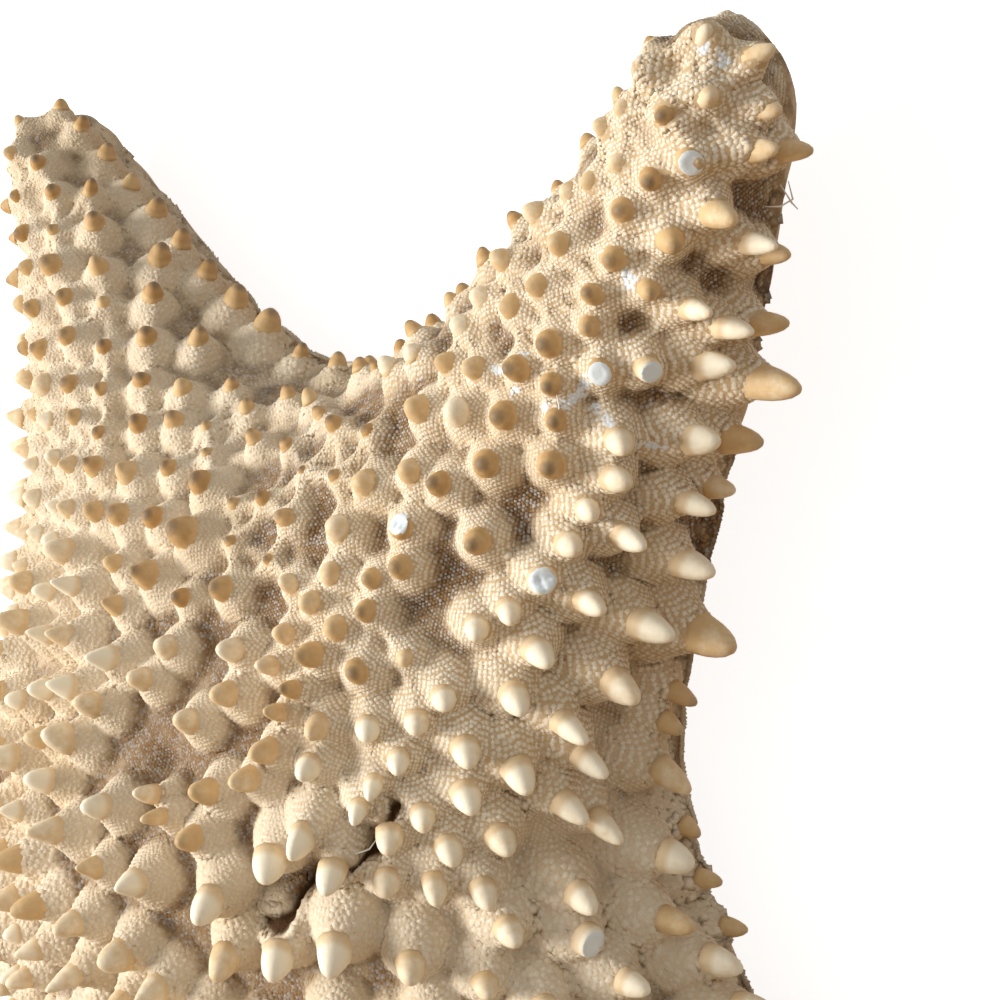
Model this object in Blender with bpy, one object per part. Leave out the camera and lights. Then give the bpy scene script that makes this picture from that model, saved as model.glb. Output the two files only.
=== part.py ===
"""Dried starfish, a knobby cushion star with five blunt arms.

The whole animal is one closed solid that rests on its flat underside. The upper
side is a soft star shape, thick over the disc and thin at the arm ends, set with
blunt cone spines. The underside has a mouth and five open grooves. Metres, +Z up.
"""

import math

import bmesh
import bpy
import numpy as np
from mathutils import Vector
from mathutils.geometry import delaunay_2d_cdt

MM = 0.001

# Arms by growing angle: heading in degrees, reach, lift of the end, sideways curl of the end
ARMS = (
    (15.4, 103.7 * MM, 6.0 * MM, 0.0 * MM),
    (90.0, 110.0 * MM, 12.5 * MM, 0.9 * MM),
    (157.4, 105.0 * MM, 6.8 * MM, 0.0 * MM),
    (231.7, 112.0 * MM, 4.5 * MM, -6.0 * MM),
    (304.7, 108.0 * MM, 7.5 * MM, 5.0 * MM),
)
MAIN_ARM = 1
FULL_REACH = 110.0 * MM
LIFT_FROM = 55.0 * MM

# Body: half width of an arm at the disc and at its end, fillet between arms, heights
BASE_R = 36.1 * MM
END_R = 6.7 * MM
FILLET = 8.3 * MM
DISC_TOP = 41.2 * MM
END_TOP = 13.3 * MM
FALL = 0.9
EDGE_Z = 5.0 * MM
ROLL = 12.0 * MM
DISC_AT = (-0.89 * MM, -11.26 * MM)

# Underside: how far the margin rounds in, the five grooves and the mouth
HEEL = 4.0 * MM
GROOVE_HALF = 3.2 * MM
GROOVE_END_HALF = 1.3 * MM
GROOVE_DEEP = 3.6 * MM
MOUTH_DEEP = 6.5 * MM
GROOVE_STEP = 8.0 * MM

# Spines: height, foot radius, smallest gap between neighbours, sides of the cone
SPINE_TALL = 5.2 * MM
SPINE_FOOT = 2.7 * MM
SPINE_SIDES = 5
LEAST_GAP = 2.6 * MM
ROOM = 4.35 * MM
ROW_GAP = 4.7 * MM
ROW_STEP = 5.6 * MM
EDGE_STEP = 6.1 * MM
EDGE_IN = 2.2 * MM
OUTLINE_STEP = 4.6 * MM
SEED = 41

# Spine rows of the main arm, each a size and the places in millimetres across and along
MAIN_ROWS = (
    (0.60, ((1.8, 107.3), (4.6, 108.6), (7.0, 106.5), (3.7, 105.0), (0.8, 106.0), (5.4, 106.2))),
    (0.80, ((2.4, 102.6), (3.4, 97.8), (3.0, 94.3), (4.0, 90.3), (4.1, 86.6))),
    (1.00, ((3.5, 80.4), (2.6, 76.6), (3.8, 72.3), (4.9, 67.6), (3.0, 63.0), (2.7, 57.2))),
    (0.95, ((5.0, 54.4), (3.7, 51.5), (5.3, 49.0), (4.2, 45.5), (4.0, 41.7), (4.8, 37.8))),
    (1.00, ((5.2, 35.0), (7.0, 31.5), (7.5, 28.0), (5.0, 23.5), (7.0, 19.0), (2.5, 17.0))),
    (0.78, ((4.2, 103.8), (4.7, 100.6), (5.2, 96.7), (6.0, 94.1), (6.5, 89.5), (5.0, 84.0))),
    (0.95, ((7.1, 81.0), (5.2, 77.5), (6.8, 75.0), (8.4, 71.2), (8.1, 61.2), (8.3, 44.0))),
    (0.85, ((9.3, 37.3), (8.6, 32.7), (6.0, 103.1), (8.0, 103.8), (7.6, 97.9), (7.9, 94.2))),
    (0.95, ((9.4, 89.8), (9.2, 83.3), (11.4, 83.5), (10.6, 76.3), (12.0, 73.0), (12.0, 69.2))),
    (1.00, ((12.7, 65.5), (13.2, 61.3), (13.3, 57.2), (12.7, 54.2), (15.2, 47.0), (15.2, 43.8))),
    (0.90, ((12.8, 40.5), (11.5, 33.7), (8.7, 101.6), (10.6, 97.0), (12.0, 89.7), (12.3, 86.0))),
    (1.05, ((12.9, 77.0), (14.8, 79.5), (15.2, 68.4), (16.5, 61.3), (16.8, 55.0), (18.5, 50.2))),
    (1.00, ((19.5, 44.0), (16.6, 40.0), (16.8, 36.8), (17.5, 34.2), (17.2, 73.7), (20.0, 68.0))),
    (1.10, ((20.8, 61.2), (23.0, 54.8), (22.7, 49.7), (26.0, 47.5), (23.5, 44.3), (22.4, 40.7))),
    (1.00, ((21.5, 37.3), (28.0, 43.5), (31.0, 43.3), (27.0, 39.0), (25.0, 36.3), (26.5, 33.3))),
    (0.95, ((29.5, 35.0), (33.5, 33.5), (35.0, 38.0), (38.5, 35.7), (21.0, 34.2), (23.7, 31.0))),
    (1.05, ((20.0, 28.0), (16.0, 28.3), (15.2, 24.3), (25.0, 22.8), (13.0, 16.0), (21.5, 18.0))),
    (0.95, ((0.0, 17.5), (-0.5, 31.5), (-2.0, 26.0), (-9.5, 28.5), (-9.5, 24.0), (-3.0, 35.0))),
    (0.60, ((0.2, 104.2), (0.4, 101.4), (1.6, 97.4), (-0.8, 99.0), (0.4, 94.6), (-1.0, 92.5))),
    (0.78, ((0.5, 88.3), (-1.7, 90.5), (0.6, 83.9), (-0.8, 80.5), (-0.5, 73.7), (-3.1, 71.7))),
    (1.00, ((-3.0, 66.3), (0.0, 61.5), (-3.0, 57.0), (-2.3, 52.0), (0.2, 48.5), (0.5, 45.0))),
    (0.75, ((-2.5, 44.5), (0.5, 40.8), (1.5, 37.5), (-2.8, 88.7), (-2.6, 86.0), (-3.5, 83.0))),
    (0.75, ((-3.6, 78.8), (-4.0, 75.2), (-7.0, 69.0), (-9.0, 65.5))),
    (1.20, ((10.2, 103.3), (12.5, 96.5))),
    (1.35, ((14.0, 91.8), (16.3, 86.8), (17.6, 80.8), (19.0, 75.5), (21.0, 71.0), (21.8, 65.6))),
    (1.30, ((24.5, 61.0), (26.8, 54.8), (30.0, 51.0), (34.5, 45.6))),
)


def clear_objects():
    """Takes every object and mesh out of the file."""
    for thing in list(bpy.data.objects):
        bpy.data.objects.remove(thing, do_unlink=True)
    for mesh in list(bpy.data.meshes):
        bpy.data.meshes.remove(mesh)


def headings():
    """Returns the unit heading of each arm as rows."""
    turn = np.radians([arm[0] for arm in ARMS])
    return np.stack([np.cos(turn), np.sin(turn)], axis=-1)


def arm_places(plan):
    """Returns how far each plan point lies along and across each arm."""
    heads = headings()
    along = plan @ heads.T
    across = plan[..., 1:2] * heads[:, 0] - plan[..., 0:1] * heads[:, 1]
    return along, across


def star_depth(plan):
    """Returns the depth inside the outline and the smooth station towards the arm end."""
    along, across = arm_places(plan)
    across = np.abs(across)
    centre = np.array([arm[1] for arm in ARMS]) - END_R
    slope = (BASE_R - END_R) / centre
    rise = np.sqrt(1.0 - slope * slope)
    side = rise * along - slope * across
    flank = rise * across + slope * along - BASE_R
    ball = np.hypot(along, across) - BASE_R
    end = np.hypot(along - centre, across) - END_R
    gap = np.where(side < 0.0, ball, np.where(side > rise * centre, end, flank))
    least = gap.min(axis=-1, keepdims=True)
    merged = least[..., 0] - FILLET * np.log(np.exp((least - gap) / FILLET).sum(axis=-1))
    scaled = along * FULL_REACH / (centre + END_R)
    most = scaled.max(axis=-1, keepdims=True)
    soft = 4.0 * MM
    station = most[..., 0] + soft * np.log(np.exp((scaled - most) / soft).sum(axis=-1))
    return -merged, station


def outward(plan):
    """Returns the plan direction that leads straight out of the star."""
    step = 0.1 * MM
    east = star_depth(plan - [step, 0.0])[0] - star_depth(plan + [step, 0.0])[0]
    north = star_depth(plan - [0.0, step])[0] - star_depth(plan + [0.0, step])[0]
    way = np.stack([east, north], axis=-1)
    return way / np.maximum(np.linalg.norm(way, axis=-1, keepdims=True), 1e-12)


def bend(points):
    """Lifts and curls the arm ends of a set of points."""
    points = points.copy()
    heads = headings()
    along = arm_places(points[..., :2])[0]
    for index, (_turn, _reach, lift, curl) in enumerate(ARMS):
        share = np.clip((along[..., index] - LIFT_FROM) / (FULL_REACH - LIFT_FROM), 0.0, 1.3) ** 2
        points[..., 2] += lift * share
        points[..., 0] -= curl * share * heads[index, 1]
        points[..., 1] += curl * share * heads[index, 0]
    return points


def upper(flat):
    """Maps points of the flattened skin onto the upper side of the body."""
    depth = star_depth(flat)[0]
    short = np.clip(ROLL / 2.0 - depth, 0.0, ROLL)
    plan = flat - outward(flat) * (short * short / (2.0 * ROLL))[..., None]
    depth, station = star_depth(plan)
    share = np.clip(station / FULL_REACH, 0.0, 1.0)
    half = BASE_R + (END_R - BASE_R) * np.clip(station / (FULL_REACH * 0.92), 0.0, 1.0)
    rim = np.clip(1.0 - depth / half, 0.0, 1.0)
    top = DISC_TOP + (END_TOP - DISC_TOP) * share ** FALL
    height = EDGE_Z + (top - EDGE_Z) * np.maximum(1.0 - rim ** 2.2, 0.0) ** (1.0 / 1.9)
    return bend(np.concatenate([plan, height[..., None]], axis=-1))


def skin_frame(flat):
    """Returns the place, the outward normal and the two skin slopes at flattened points."""
    step = 0.1 * MM
    east = (upper(flat + [step, 0.0]) - upper(flat - [step, 0.0])) / (2.0 * step)
    north = (upper(flat + [0.0, step]) - upper(flat - [0.0, step])) / (2.0 * step)
    normal = np.cross(east, north)
    normal /= np.maximum(np.linalg.norm(normal, axis=-1, keepdims=True), 1e-12)
    return upper(flat), normal, east, north


def contour(depth, count=1440):
    """Returns points round the star at one depth, by growing angle."""
    turn = np.linspace(0.0, 2.0 * math.pi, count, endpoint=False)
    way = np.stack([np.cos(turn), np.sin(turn)], axis=-1)
    near = np.full(count, 5.0 * MM)
    far = np.full(count, 140.0 * MM)
    for _ in range(40):
        middle = (near + far) / 2.0
        inside = star_depth(way * middle[:, None])[0] > depth
        near = np.where(inside, middle, near)
        far = np.where(inside, far, middle)
    return way * near[:, None]


def even_steps(loop, step):
    """Returns points spaced evenly along a closed loop."""
    closed = np.concatenate([loop, loop[:1]])
    run = np.concatenate([[0.0], np.cumsum(np.linalg.norm(np.diff(closed, axis=0), axis=-1))])
    count = int(round(run[-1] / step))
    marks = np.arange(count) * run[-1] / count
    return np.stack([np.interp(marks, run, closed[:, axis]) for axis in range(2)], axis=-1)


def row_places():
    """Returns the spine places that rows along the arms and round the edge would take."""
    chance = np.random.RandomState(SEED)
    places = []
    for point in even_steps(contour(-EDGE_IN), EDGE_STEP):
        places.append((point[0], point[1], 1.05 + 0.12 * chance.randn()))
    heads = headings()
    for index, (_turn, reach, _lift, _curl) in enumerate(ARMS):
        head = heads[index]
        left = np.array([-head[1], head[0]])
        for lane in range(-9, 10):
            count = int((reach + 4.0 * MM) / ROW_STEP)
            for stop in range(count):
                along = (stop + 0.5 * (lane % 2) + 0.35) * ROW_STEP + chance.uniform(-0.9, 0.9) * MM
                across = lane * ROW_GAP + chance.uniform(-0.9, 0.9) * MM
                point = head * along + left * across
                size = 0.88 + 0.10 * chance.randn()
                own = arm_places(point)[0].argmax() == index
                if own and star_depth(point)[0] > 0.6 * MM:
                    places.append((point[0], point[1], size))
    places = np.array(places)
    share = star_depth(places[:, :2])[1] / FULL_REACH
    places[:, 2] *= 1.0 - 0.45 * np.clip((share - 0.75) / 0.25, 0.0, 1.0)
    worn = (places[:, 0] < -3.0 * MM) & (places[:, 0] > -40.0 * MM) & (places[:, 1] > 38.0 * MM)
    places[worn, 2] *= 0.66
    return places


def spine_places():
    """Returns every spine as rows of flat x, flat y, size and nearest neighbour."""
    known = [(across * MM, along * MM, size) for size, row in MAIN_ROWS for across, along in row]
    places = np.concatenate([np.array(known), row_places()])
    places[:, 2] = np.clip(places[:, 2], 0.45, 1.45)
    roots = upper(places[:, :2])
    kept = []
    for index, root in enumerate(roots):
        least = LEAST_GAP if index < len(known) else ROOM
        if not kept or np.linalg.norm(roots[kept] - root, axis=-1).min() > least:
            kept.append(index)
    roots = roots[kept]
    gaps = np.linalg.norm(roots[:, None] - roots[None], axis=-1) + np.eye(len(kept))
    return np.concatenate([places[kept], gaps.min(axis=1)[:, None]], axis=1)


def upper_net():
    """Returns points, flattened places and triangles of the upper side."""
    rim = even_steps(contour(-ROLL / 2.0), OUTLINE_STEP)
    flat = [tuple(point) for point in rim]
    solid = [tuple(point) for point in upper(rim)]
    ties = [(index, (index + 1) % len(rim)) for index in range(len(rim))]
    feet = []
    spines = spine_places()
    frames = skin_frame(spines[:, :2])
    for order, (east, north, size, near) in enumerate(spines):
        place = np.array([east, north])
        root, normal, slope_e, slope_n = [part[order] for part in frames]
        side_a = slope_e / np.linalg.norm(slope_e)
        side_b = np.cross(normal, side_a)
        local = np.array([
            [side_a @ slope_e, side_a @ slope_n],
            [side_b @ slope_e, side_b @ slope_n],
        ])
        foot = min(SPINE_FOOT * size, 0.46 * near)
        first = len(flat)
        for corner in range(SPINE_SIDES):
            turn = 2.0 * math.pi * (corner + 0.37 * order) / SPINE_SIDES
            shift = np.linalg.solve(local, foot * np.array([math.cos(turn), math.sin(turn)]))
            flat.append(tuple(place + shift))
            feet.append(len(flat) - 1)
            solid.append(None)
            ties.append((first + corner, first + (corner + 1) % SPINE_SIDES))
        flat.append(tuple(place))
        solid.append(tuple(root + normal * SPINE_TALL * size))
    for foot, point in zip(feet, upper(np.array([flat[foot] for foot in feet]))):
        solid[foot] = tuple(point)
    return solid, flat, ties, rim


def groove_lines():
    """Returns underside points, their heights and the lines that join them."""
    heads = headings()
    points = [(0.0, 0.0)]
    heights = [MOUTH_DEEP]
    ties = []
    corners = []
    count = len(ARMS)
    for index in range(count):
        turn = math.radians(ARMS[index][0])
        other = math.radians(ARMS[(index + 1) % count][0])
        spread = (other - turn) % (2.0 * math.pi)
        reach = GROOVE_HALF / math.sin(spread / 2.0)
        points.append((reach * math.cos(turn + spread / 2.0), reach * math.sin(turn + spread / 2.0)))
        heights.append(0.0)
        corners.append(len(points) - 1)
    for index, (_turn, reach, _lift, _curl) in enumerate(ARMS):
        head = heads[index]
        left = np.array([-head[1], head[0]])
        last = reach - 7.0 * MM
        stops = np.arange(12.0 * MM, last, GROOVE_STEP)
        lines = [[corners[index]], [0], [corners[index - 1]]]
        for stop in stops:
            share = stop / last
            half = GROOVE_HALF + (GROOVE_END_HALF - GROOVE_HALF) * share
            deep = GROOVE_DEEP * (1.0 - 0.55 * share)
            for line, across, rise in zip(lines, (half, 0.0, -half), (0.0, deep, 0.0)):
                points.append(tuple(head * stop + left * across))
                heights.append(rise)
                line.append(len(points) - 1)
        points.append(tuple(head * last))
        heights.append(0.0)
        for line in lines:
            line.append(len(points) - 1)
            ties.extend(zip(line[:-1], line[1:]))
    return points, heights, ties


def under_net(rim_flat, rim_solid):
    """Returns points, flattened places and lines of the underside inside a given rim."""
    flat = [tuple(point) for point in rim_flat]
    solid = list(rim_solid)
    ties = [(index, (index + 1) % len(flat)) for index in range(len(flat))]
    for inset, every in ((0.32 * HEEL, 2), (HEEL, 2)):
        for point in even_steps(contour(inset), OUTLINE_STEP * every * 0.9):
            height = EDGE_Z * (1.0 - math.sqrt(max(0.0, 1.0 - (1.0 - inset / HEEL) ** 2)))
            flat.append(tuple(point))
            solid.append(tuple(bend(np.array([point[0], point[1], height]))))
    points, heights, lines = groove_lines()
    base = len(flat)
    for point, height in zip(points, heights):
        flat.append(tuple(point))
        solid.append(tuple(bend(np.array([point[0], point[1], height]))))
    ties.extend((base + first, base + second) for first, second in lines)
    for index in range(len(ARMS)):
        turn = math.radians(ARMS[index][0])
        other = math.radians(ARMS[(index + 1) % len(ARMS)][0])
        middle = turn + ((other - turn) % (2.0 * math.pi)) / 2.0
        for reach in (14.0 * MM, 24.0 * MM):
            point = (reach * math.cos(middle), reach * math.sin(middle))
            flat.append(point)
            solid.append((point[0], point[1], 0.0))
    return solid, flat, ties


def triangles(flat, ties):
    """Returns the triangles that fill the outer line of flattened points."""
    result = delaunay_2d_cdt([Vector(point) for point in flat], ties, [], 1, 1e-9)
    _places, _edges, faces, origins = result[:4]
    names = [origin[0] for origin in origins]
    return [tuple(names[corner] for corner in face) for face in faces]


def solid_mesh(name):
    """Builds the closed starfish mesh."""
    solid, flat, ties, rim = upper_net()
    upper_faces = triangles(flat, ties)
    count = len(rim)
    low, low_flat, low_ties = under_net(rim - outward(rim) * ROLL / 2.0, solid[:count])
    low_faces = triangles(low_flat, low_ties)
    shell = bmesh.new()
    shift = np.array([DISC_AT[0], DISC_AT[1], 0.0])
    corners = [shell.verts.new(Vector(np.array(point) + shift)) for point in solid]
    under = corners[:count] + [shell.verts.new(Vector(np.array(point) + shift)) for point in low[count:]]
    for face in upper_faces:
        shell.faces.new([corners[corner] for corner in face])
    for face in low_faces:
        shell.faces.new([under[corner] for corner in reversed(face)])
    loose = [corner for corner in shell.verts if not corner.link_faces]
    bmesh.ops.delete(shell, geom=loose, context="VERTS")
    bmesh.ops.recalc_face_normals(shell, faces=shell.faces)
    mesh = bpy.data.meshes.new(name)
    shell.to_mesh(mesh)
    shell.free()
    return mesh


def dried_skin():
    """Returns the sandy, matt finish of the dried skin."""
    finish = bpy.data.materials.new("dried_skin")
    finish.use_nodes = True
    shader = finish.node_tree.nodes["Principled BSDF"]
    shader.inputs["Base Color"].default_value = (0.62, 0.44, 0.25, 1.0)
    shader.inputs["Roughness"].default_value = 0.85
    shader.inputs["Metallic"].default_value = 0.0
    return finish


def main():
    """Builds the starfish as one named object."""
    clear_objects()
    mesh = solid_mesh("starfish")
    mesh.materials.append(dried_skin())
    body = bpy.data.objects.new("starfish", mesh)
    bpy.context.scene.collection.objects.link(body)


main()
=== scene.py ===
import logging
import math
from dataclasses import dataclass, field
from enum import Enum

import bmesh
import bpy
import numpy as np
from mathutils import Matrix, Vector, kdtree, noise
from mathutils.bvhtree import BVHTree
from mathutils.geometry import delaunay_2d_cdt


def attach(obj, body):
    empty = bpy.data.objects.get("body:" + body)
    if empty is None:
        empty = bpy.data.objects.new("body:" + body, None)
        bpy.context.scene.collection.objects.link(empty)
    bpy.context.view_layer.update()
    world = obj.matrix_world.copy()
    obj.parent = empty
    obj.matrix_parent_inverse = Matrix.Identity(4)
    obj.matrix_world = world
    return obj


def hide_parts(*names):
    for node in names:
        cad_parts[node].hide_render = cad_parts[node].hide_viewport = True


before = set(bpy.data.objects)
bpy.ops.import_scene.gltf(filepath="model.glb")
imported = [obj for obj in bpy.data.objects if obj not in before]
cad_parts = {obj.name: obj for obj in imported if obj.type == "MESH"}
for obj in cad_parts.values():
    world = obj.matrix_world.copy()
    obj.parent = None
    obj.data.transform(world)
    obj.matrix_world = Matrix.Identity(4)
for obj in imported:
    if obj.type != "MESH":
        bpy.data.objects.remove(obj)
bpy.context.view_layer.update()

MM = 0.001
SPAN = 125.0 * MM  # half the side of the square that holds the whole star
DENT_SEED = 3
Colour = tuple[float, float, float, float]
Line = tuple[tuple[float, float], ...]
NODE = "starfish"
BODY = "root"
LOG = logging.getLogger("starfish")


class TipKind(Enum):
    """The kinds of spine end."""

    BLUNT = "blunt"
    POINTED = "pointed"
    BROKEN = "broken"
    CHIPPED = "chipped"


@dataclass(frozen=True)
class Arm:
    """One arm: heading in degrees, reach, lift of its end and sideways curl of its end."""

    turn: float
    reach: float
    lift: float
    curl: float


@dataclass(frozen=True)
class StarForm:
    """The smooth body that the skin, spines and grooves follow, in metres."""

    arms: tuple[Arm, ...] = (
        Arm(15.4, 103.7 * MM, 6.0 * MM, 0.0 * MM),
        Arm(90.0, 110.0 * MM, 12.5 * MM, 0.9 * MM),
        Arm(157.4, 105.0 * MM, 6.8 * MM, 0.0 * MM),
        Arm(231.7, 112.0 * MM, 4.5 * MM, -6.0 * MM),
        Arm(304.7, 108.0 * MM, 7.5 * MM, 5.0 * MM),
    )
    main_arm: int = 1
    full_reach: float = 110.0 * MM
    lift_from: float = 55.0 * MM
    base_r: float = 36.1 * MM
    end_r: float = 6.7 * MM
    fillet: float = 8.3 * MM
    disc_top: float = 41.2 * MM
    end_top: float = 13.3 * MM
    fall: float = 0.9
    edge_z: float = 5.0 * MM
    roll: float = 12.0 * MM
    merge: float = 4.0 * MM
    probe: float = 0.1 * MM
    shoulder: tuple[float, float] = (2.2, 1.9)
    disc_at: tuple[float, float] = (-0.89 * MM, -11.26 * MM)

    def headings(self) -> np.ndarray:
        """Returns the unit heading of each arm as rows."""
        turn = np.radians([arm.turn for arm in self.arms])
        return np.stack([np.cos(turn), np.sin(turn)], axis=-1)

    def arm_places(self, plan: np.ndarray) -> tuple[np.ndarray, np.ndarray]:
        """Measures plan points against each arm.

        Args:
            plan: points, last axis x and y from the disc's centre.

        Returns:
            How far each point lies along and across each arm.
        """
        heads = self.headings()
        along = plan @ heads.T
        across = plan[..., 1:2] * heads[:, 0] - plan[..., 0:1] * heads[:, 1]
        return along, across

    def depth(self, plan: np.ndarray) -> tuple[np.ndarray, np.ndarray]:
        """Measures how deep plan points lie in the outline.

        Args:
            plan: points, last axis x and y from the disc's centre.

        Returns:
            The depth inside the outline and the smooth station towards the arm end.
        """
        along, across = self.arm_places(plan)
        across = np.abs(across)
        centre = np.array([arm.reach for arm in self.arms]) - self.end_r
        slope = (self.base_r - self.end_r) / centre
        rise = np.sqrt(1.0 - slope * slope)
        side = rise * along - slope * across
        flank = rise * across + slope * along - self.base_r
        ball = np.hypot(along, across) - self.base_r
        end = np.hypot(along - centre, across) - self.end_r
        gap = np.where(side < 0.0, ball, np.where(side > rise * centre, end, flank))
        least = gap.min(axis=-1, keepdims=True)
        merged = least[..., 0] - self.fillet * np.log(np.exp((least - gap) / self.fillet).sum(axis=-1))
        scaled = along * self.full_reach / (centre + self.end_r)
        most = scaled.max(axis=-1, keepdims=True)
        station = most[..., 0] + self.merge * np.log(np.exp((scaled - most) / self.merge).sum(axis=-1))
        return -merged, station

    def outward(self, plan: np.ndarray) -> np.ndarray:
        """Finds the plan direction that leads straight out of the star.

        Args:
            plan: points, last axis x and y from the disc's centre.

        Returns:
            Unit directions in plan.
        """
        step = self.probe
        east = self.depth(plan - [step, 0.0])[0] - self.depth(plan + [step, 0.0])[0]
        north = self.depth(plan - [0.0, step])[0] - self.depth(plan + [0.0, step])[0]
        way = np.stack([east, north], axis=-1)
        return way / np.maximum(np.linalg.norm(way, axis=-1, keepdims=True), 1e-12)

    def bend(self, points: np.ndarray) -> np.ndarray:
        """Lifts and curls the arm ends.

        Args:
            points: places from the disc's centre.

        Returns:
            The bent places.
        """
        points = points.copy()
        heads = self.headings()
        along = self.arm_places(points[..., :2])[0]
        for index, arm in enumerate(self.arms):
            share = np.clip((along[..., index] - self.lift_from) / (self.full_reach - self.lift_from), 0.0, 1.3) ** 2
            points[..., 2] += arm.lift * share
            points[..., 0] -= arm.curl * share * heads[index, 1]
            points[..., 1] += arm.curl * share * heads[index, 0]
        return points

    def upper(self, flat: np.ndarray) -> np.ndarray:
        """Maps points of the flattened skin onto the upper side.

        Args:
            flat: points of the flattened skin, last axis x and y.

        Returns:
            Places from the disc's centre on the underside.
        """
        depth = self.depth(flat)[0]
        short = np.clip(self.roll / 2.0 - depth, 0.0, self.roll)
        plan = flat - self.outward(flat) * (short * short / (2.0 * self.roll))[..., None]
        depth, station = self.depth(plan)
        share = np.clip(station / self.full_reach, 0.0, 1.0)
        half = self.base_r + (self.end_r - self.base_r) * np.clip(station / (self.full_reach * 0.92), 0.0, 1.0)
        rim = np.clip(1.0 - depth / half, 0.0, 1.0)
        top = self.disc_top + (self.end_top - self.disc_top) * share**self.fall
        round_out, round_up = self.shoulder
        height = self.edge_z + (top - self.edge_z) * np.maximum(1.0 - rim**round_out, 0.0) ** (1.0 / round_up)
        return self.bend(np.concatenate([plan, height[..., None]], axis=-1))

    def skin_frame(self, flat: np.ndarray) -> tuple[np.ndarray, np.ndarray]:
        """Finds places and outward directions on the upper side.

        Args:
            flat: points of the flattened skin.

        Returns:
            The places and the unit normals.
        """
        step = self.probe
        east = self.upper(flat + [step, 0.0]) - self.upper(flat - [step, 0.0])
        north = self.upper(flat + [0.0, step]) - self.upper(flat - [0.0, step])
        normal = np.cross(east, north)
        normal /= np.maximum(np.linalg.norm(normal, axis=-1, keepdims=True), 1e-15)
        return self.upper(flat), normal

    def contour(self, depth: float, count: int = 1440) -> np.ndarray:
        """Finds points round the star at one depth.

        Args:
            depth: how far inside the outline, negative outside.
            count: how many points.

        Returns:
            Plan points by growing angle.
        """
        turn = np.linspace(0.0, 2.0 * math.pi, count, endpoint=False)
        way = np.stack([np.cos(turn), np.sin(turn)], axis=-1)
        near = np.full(count, 5.0 * MM)
        far = np.full(count, 140.0 * MM)
        for _ in range(40):
            middle = (near + far) / 2.0
            inside = self.depth(way * middle[:, None])[0] > depth
            near = np.where(inside, middle, near)
            far = np.where(inside, far, middle)
        return way * near[:, None]

    def placed(self, points: np.ndarray) -> np.ndarray:
        """Moves places from the disc's centre to the part's own frame."""
        return points + np.array([self.disc_at[0], self.disc_at[1], 0.0])


def even_steps(loop: np.ndarray, step: float) -> np.ndarray:
    """Spaces points evenly along a closed loop.

    Args:
        loop: plan points in order.
        step: the spacing wanted.

    Returns:
        The evenly spaced points.
    """
    closed = np.concatenate([loop, loop[:1]])
    run = np.concatenate([[0.0], np.cumsum(np.linalg.norm(np.diff(closed, axis=0), axis=-1))])
    count = int(round(run[-1] / step))
    marks = np.arange(count) * run[-1] / count
    return np.stack([np.interp(marks, run, closed[:, axis]) for axis in range(2)], axis=-1)


def fill_triangles(flat: np.ndarray, ties: list[tuple[int, int]]) -> np.ndarray:
    """Fills the outer line of flat points with triangles.

    Args:
        flat: plan points.
        ties: pairs that must be joined, among them the whole outer line.

    Returns:
        Triangles as rows of three indices.
    """
    result = delaunay_2d_cdt([Vector(point) for point in flat.tolist()], ties, [], 1, 1e-9)
    names = [origin[0] for origin in result[3]]
    return np.array([[names[corner] for corner in face] for face in result[2]])


def honeycomb(step: float, span: float) -> np.ndarray:
    """Spaces points in staggered rows over a square.

    Args:
        step: the spacing within a row.
        span: half the square's side.

    Returns:
        The points.
    """
    rows = int(2.0 * span / (step * math.sqrt(0.75)))
    columns = int(2.0 * span / step)
    east, north = np.meshgrid(np.arange(columns, dtype=float), np.arange(rows, dtype=float))
    east = (east + 0.5 * (north % 2)) * step - span
    north = north * step * math.sqrt(0.75) - span
    return np.stack([east.ravel(), north.ravel()], axis=-1)


def line_gap(points: np.ndarray, line: np.ndarray) -> np.ndarray:
    """Measures how far points lie from a broken line.

    Args:
        points: plan points.
        line: the line's corners in order.

    Returns:
        The distance of each point.
    """
    best = np.full(len(points), 1.0)
    for start, stop in zip(line[:-1], line[1:]):
        run = stop - start
        share = np.clip(((points - start) @ run) / max(run @ run, 1e-12), 0.0, 1.0)
        best = np.minimum(best, np.linalg.norm(points - start - share[:, None] * run, axis=-1))
    return best


def make_object(name: str, places: np.ndarray, faces: list, smooth: bool = True) -> bpy.types.Object:
    """Makes a mesh object in the scene.

    Args:
        name: the object's name.
        places: corner places in metres.
        faces: corner indices of each face.
        smooth: whether its faces are shaded smooth.

    Returns:
        The object.
    """
    mesh = bpy.data.meshes.new(name)
    mesh.from_pydata(np.asarray(places).tolist(), [], [list(map(int, face)) for face in faces])
    mesh.update()
    if smooth:
        mesh.shade_smooth()
    made = bpy.data.objects.new(name, mesh)
    bpy.context.scene.collection.objects.link(made)
    return made


def roughness(points: np.ndarray, scale: float) -> np.ndarray:
    """Returns a smooth noise at points, with that many waves to a metre."""
    return np.array([noise.noise(Vector(point) * scale) for point in points])


def rise_between(values: np.ndarray, low: float, high: float) -> np.ndarray:
    """Returns how far values are from low to high, from 0 to 1."""
    return np.clip((values - low) / (high - low), 0.0, 1.0)


def mound(gap: np.ndarray, wide: float) -> np.ndarray:
    """Returns a soft bell that is 1 at no distance and falls off over a width."""
    return np.exp(-((gap / wide) ** 2))


def store(target: bpy.types.Object, name: str, values: np.ndarray) -> None:
    """Keeps one number or vector for each corner of a mesh.

    Args:
        target: the object whose mesh holds them.
        name: the attribute's name.
        values: one row for each corner.
    """
    kind, key = ("FLOAT_VECTOR", "vector") if np.ndim(values) == 2 else ("FLOAT", "value")
    layer = target.data.attributes.new(name, kind, "POINT")
    layer.data.foreach_set(key, np.asarray(values, dtype=np.float32).ravel())


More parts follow.
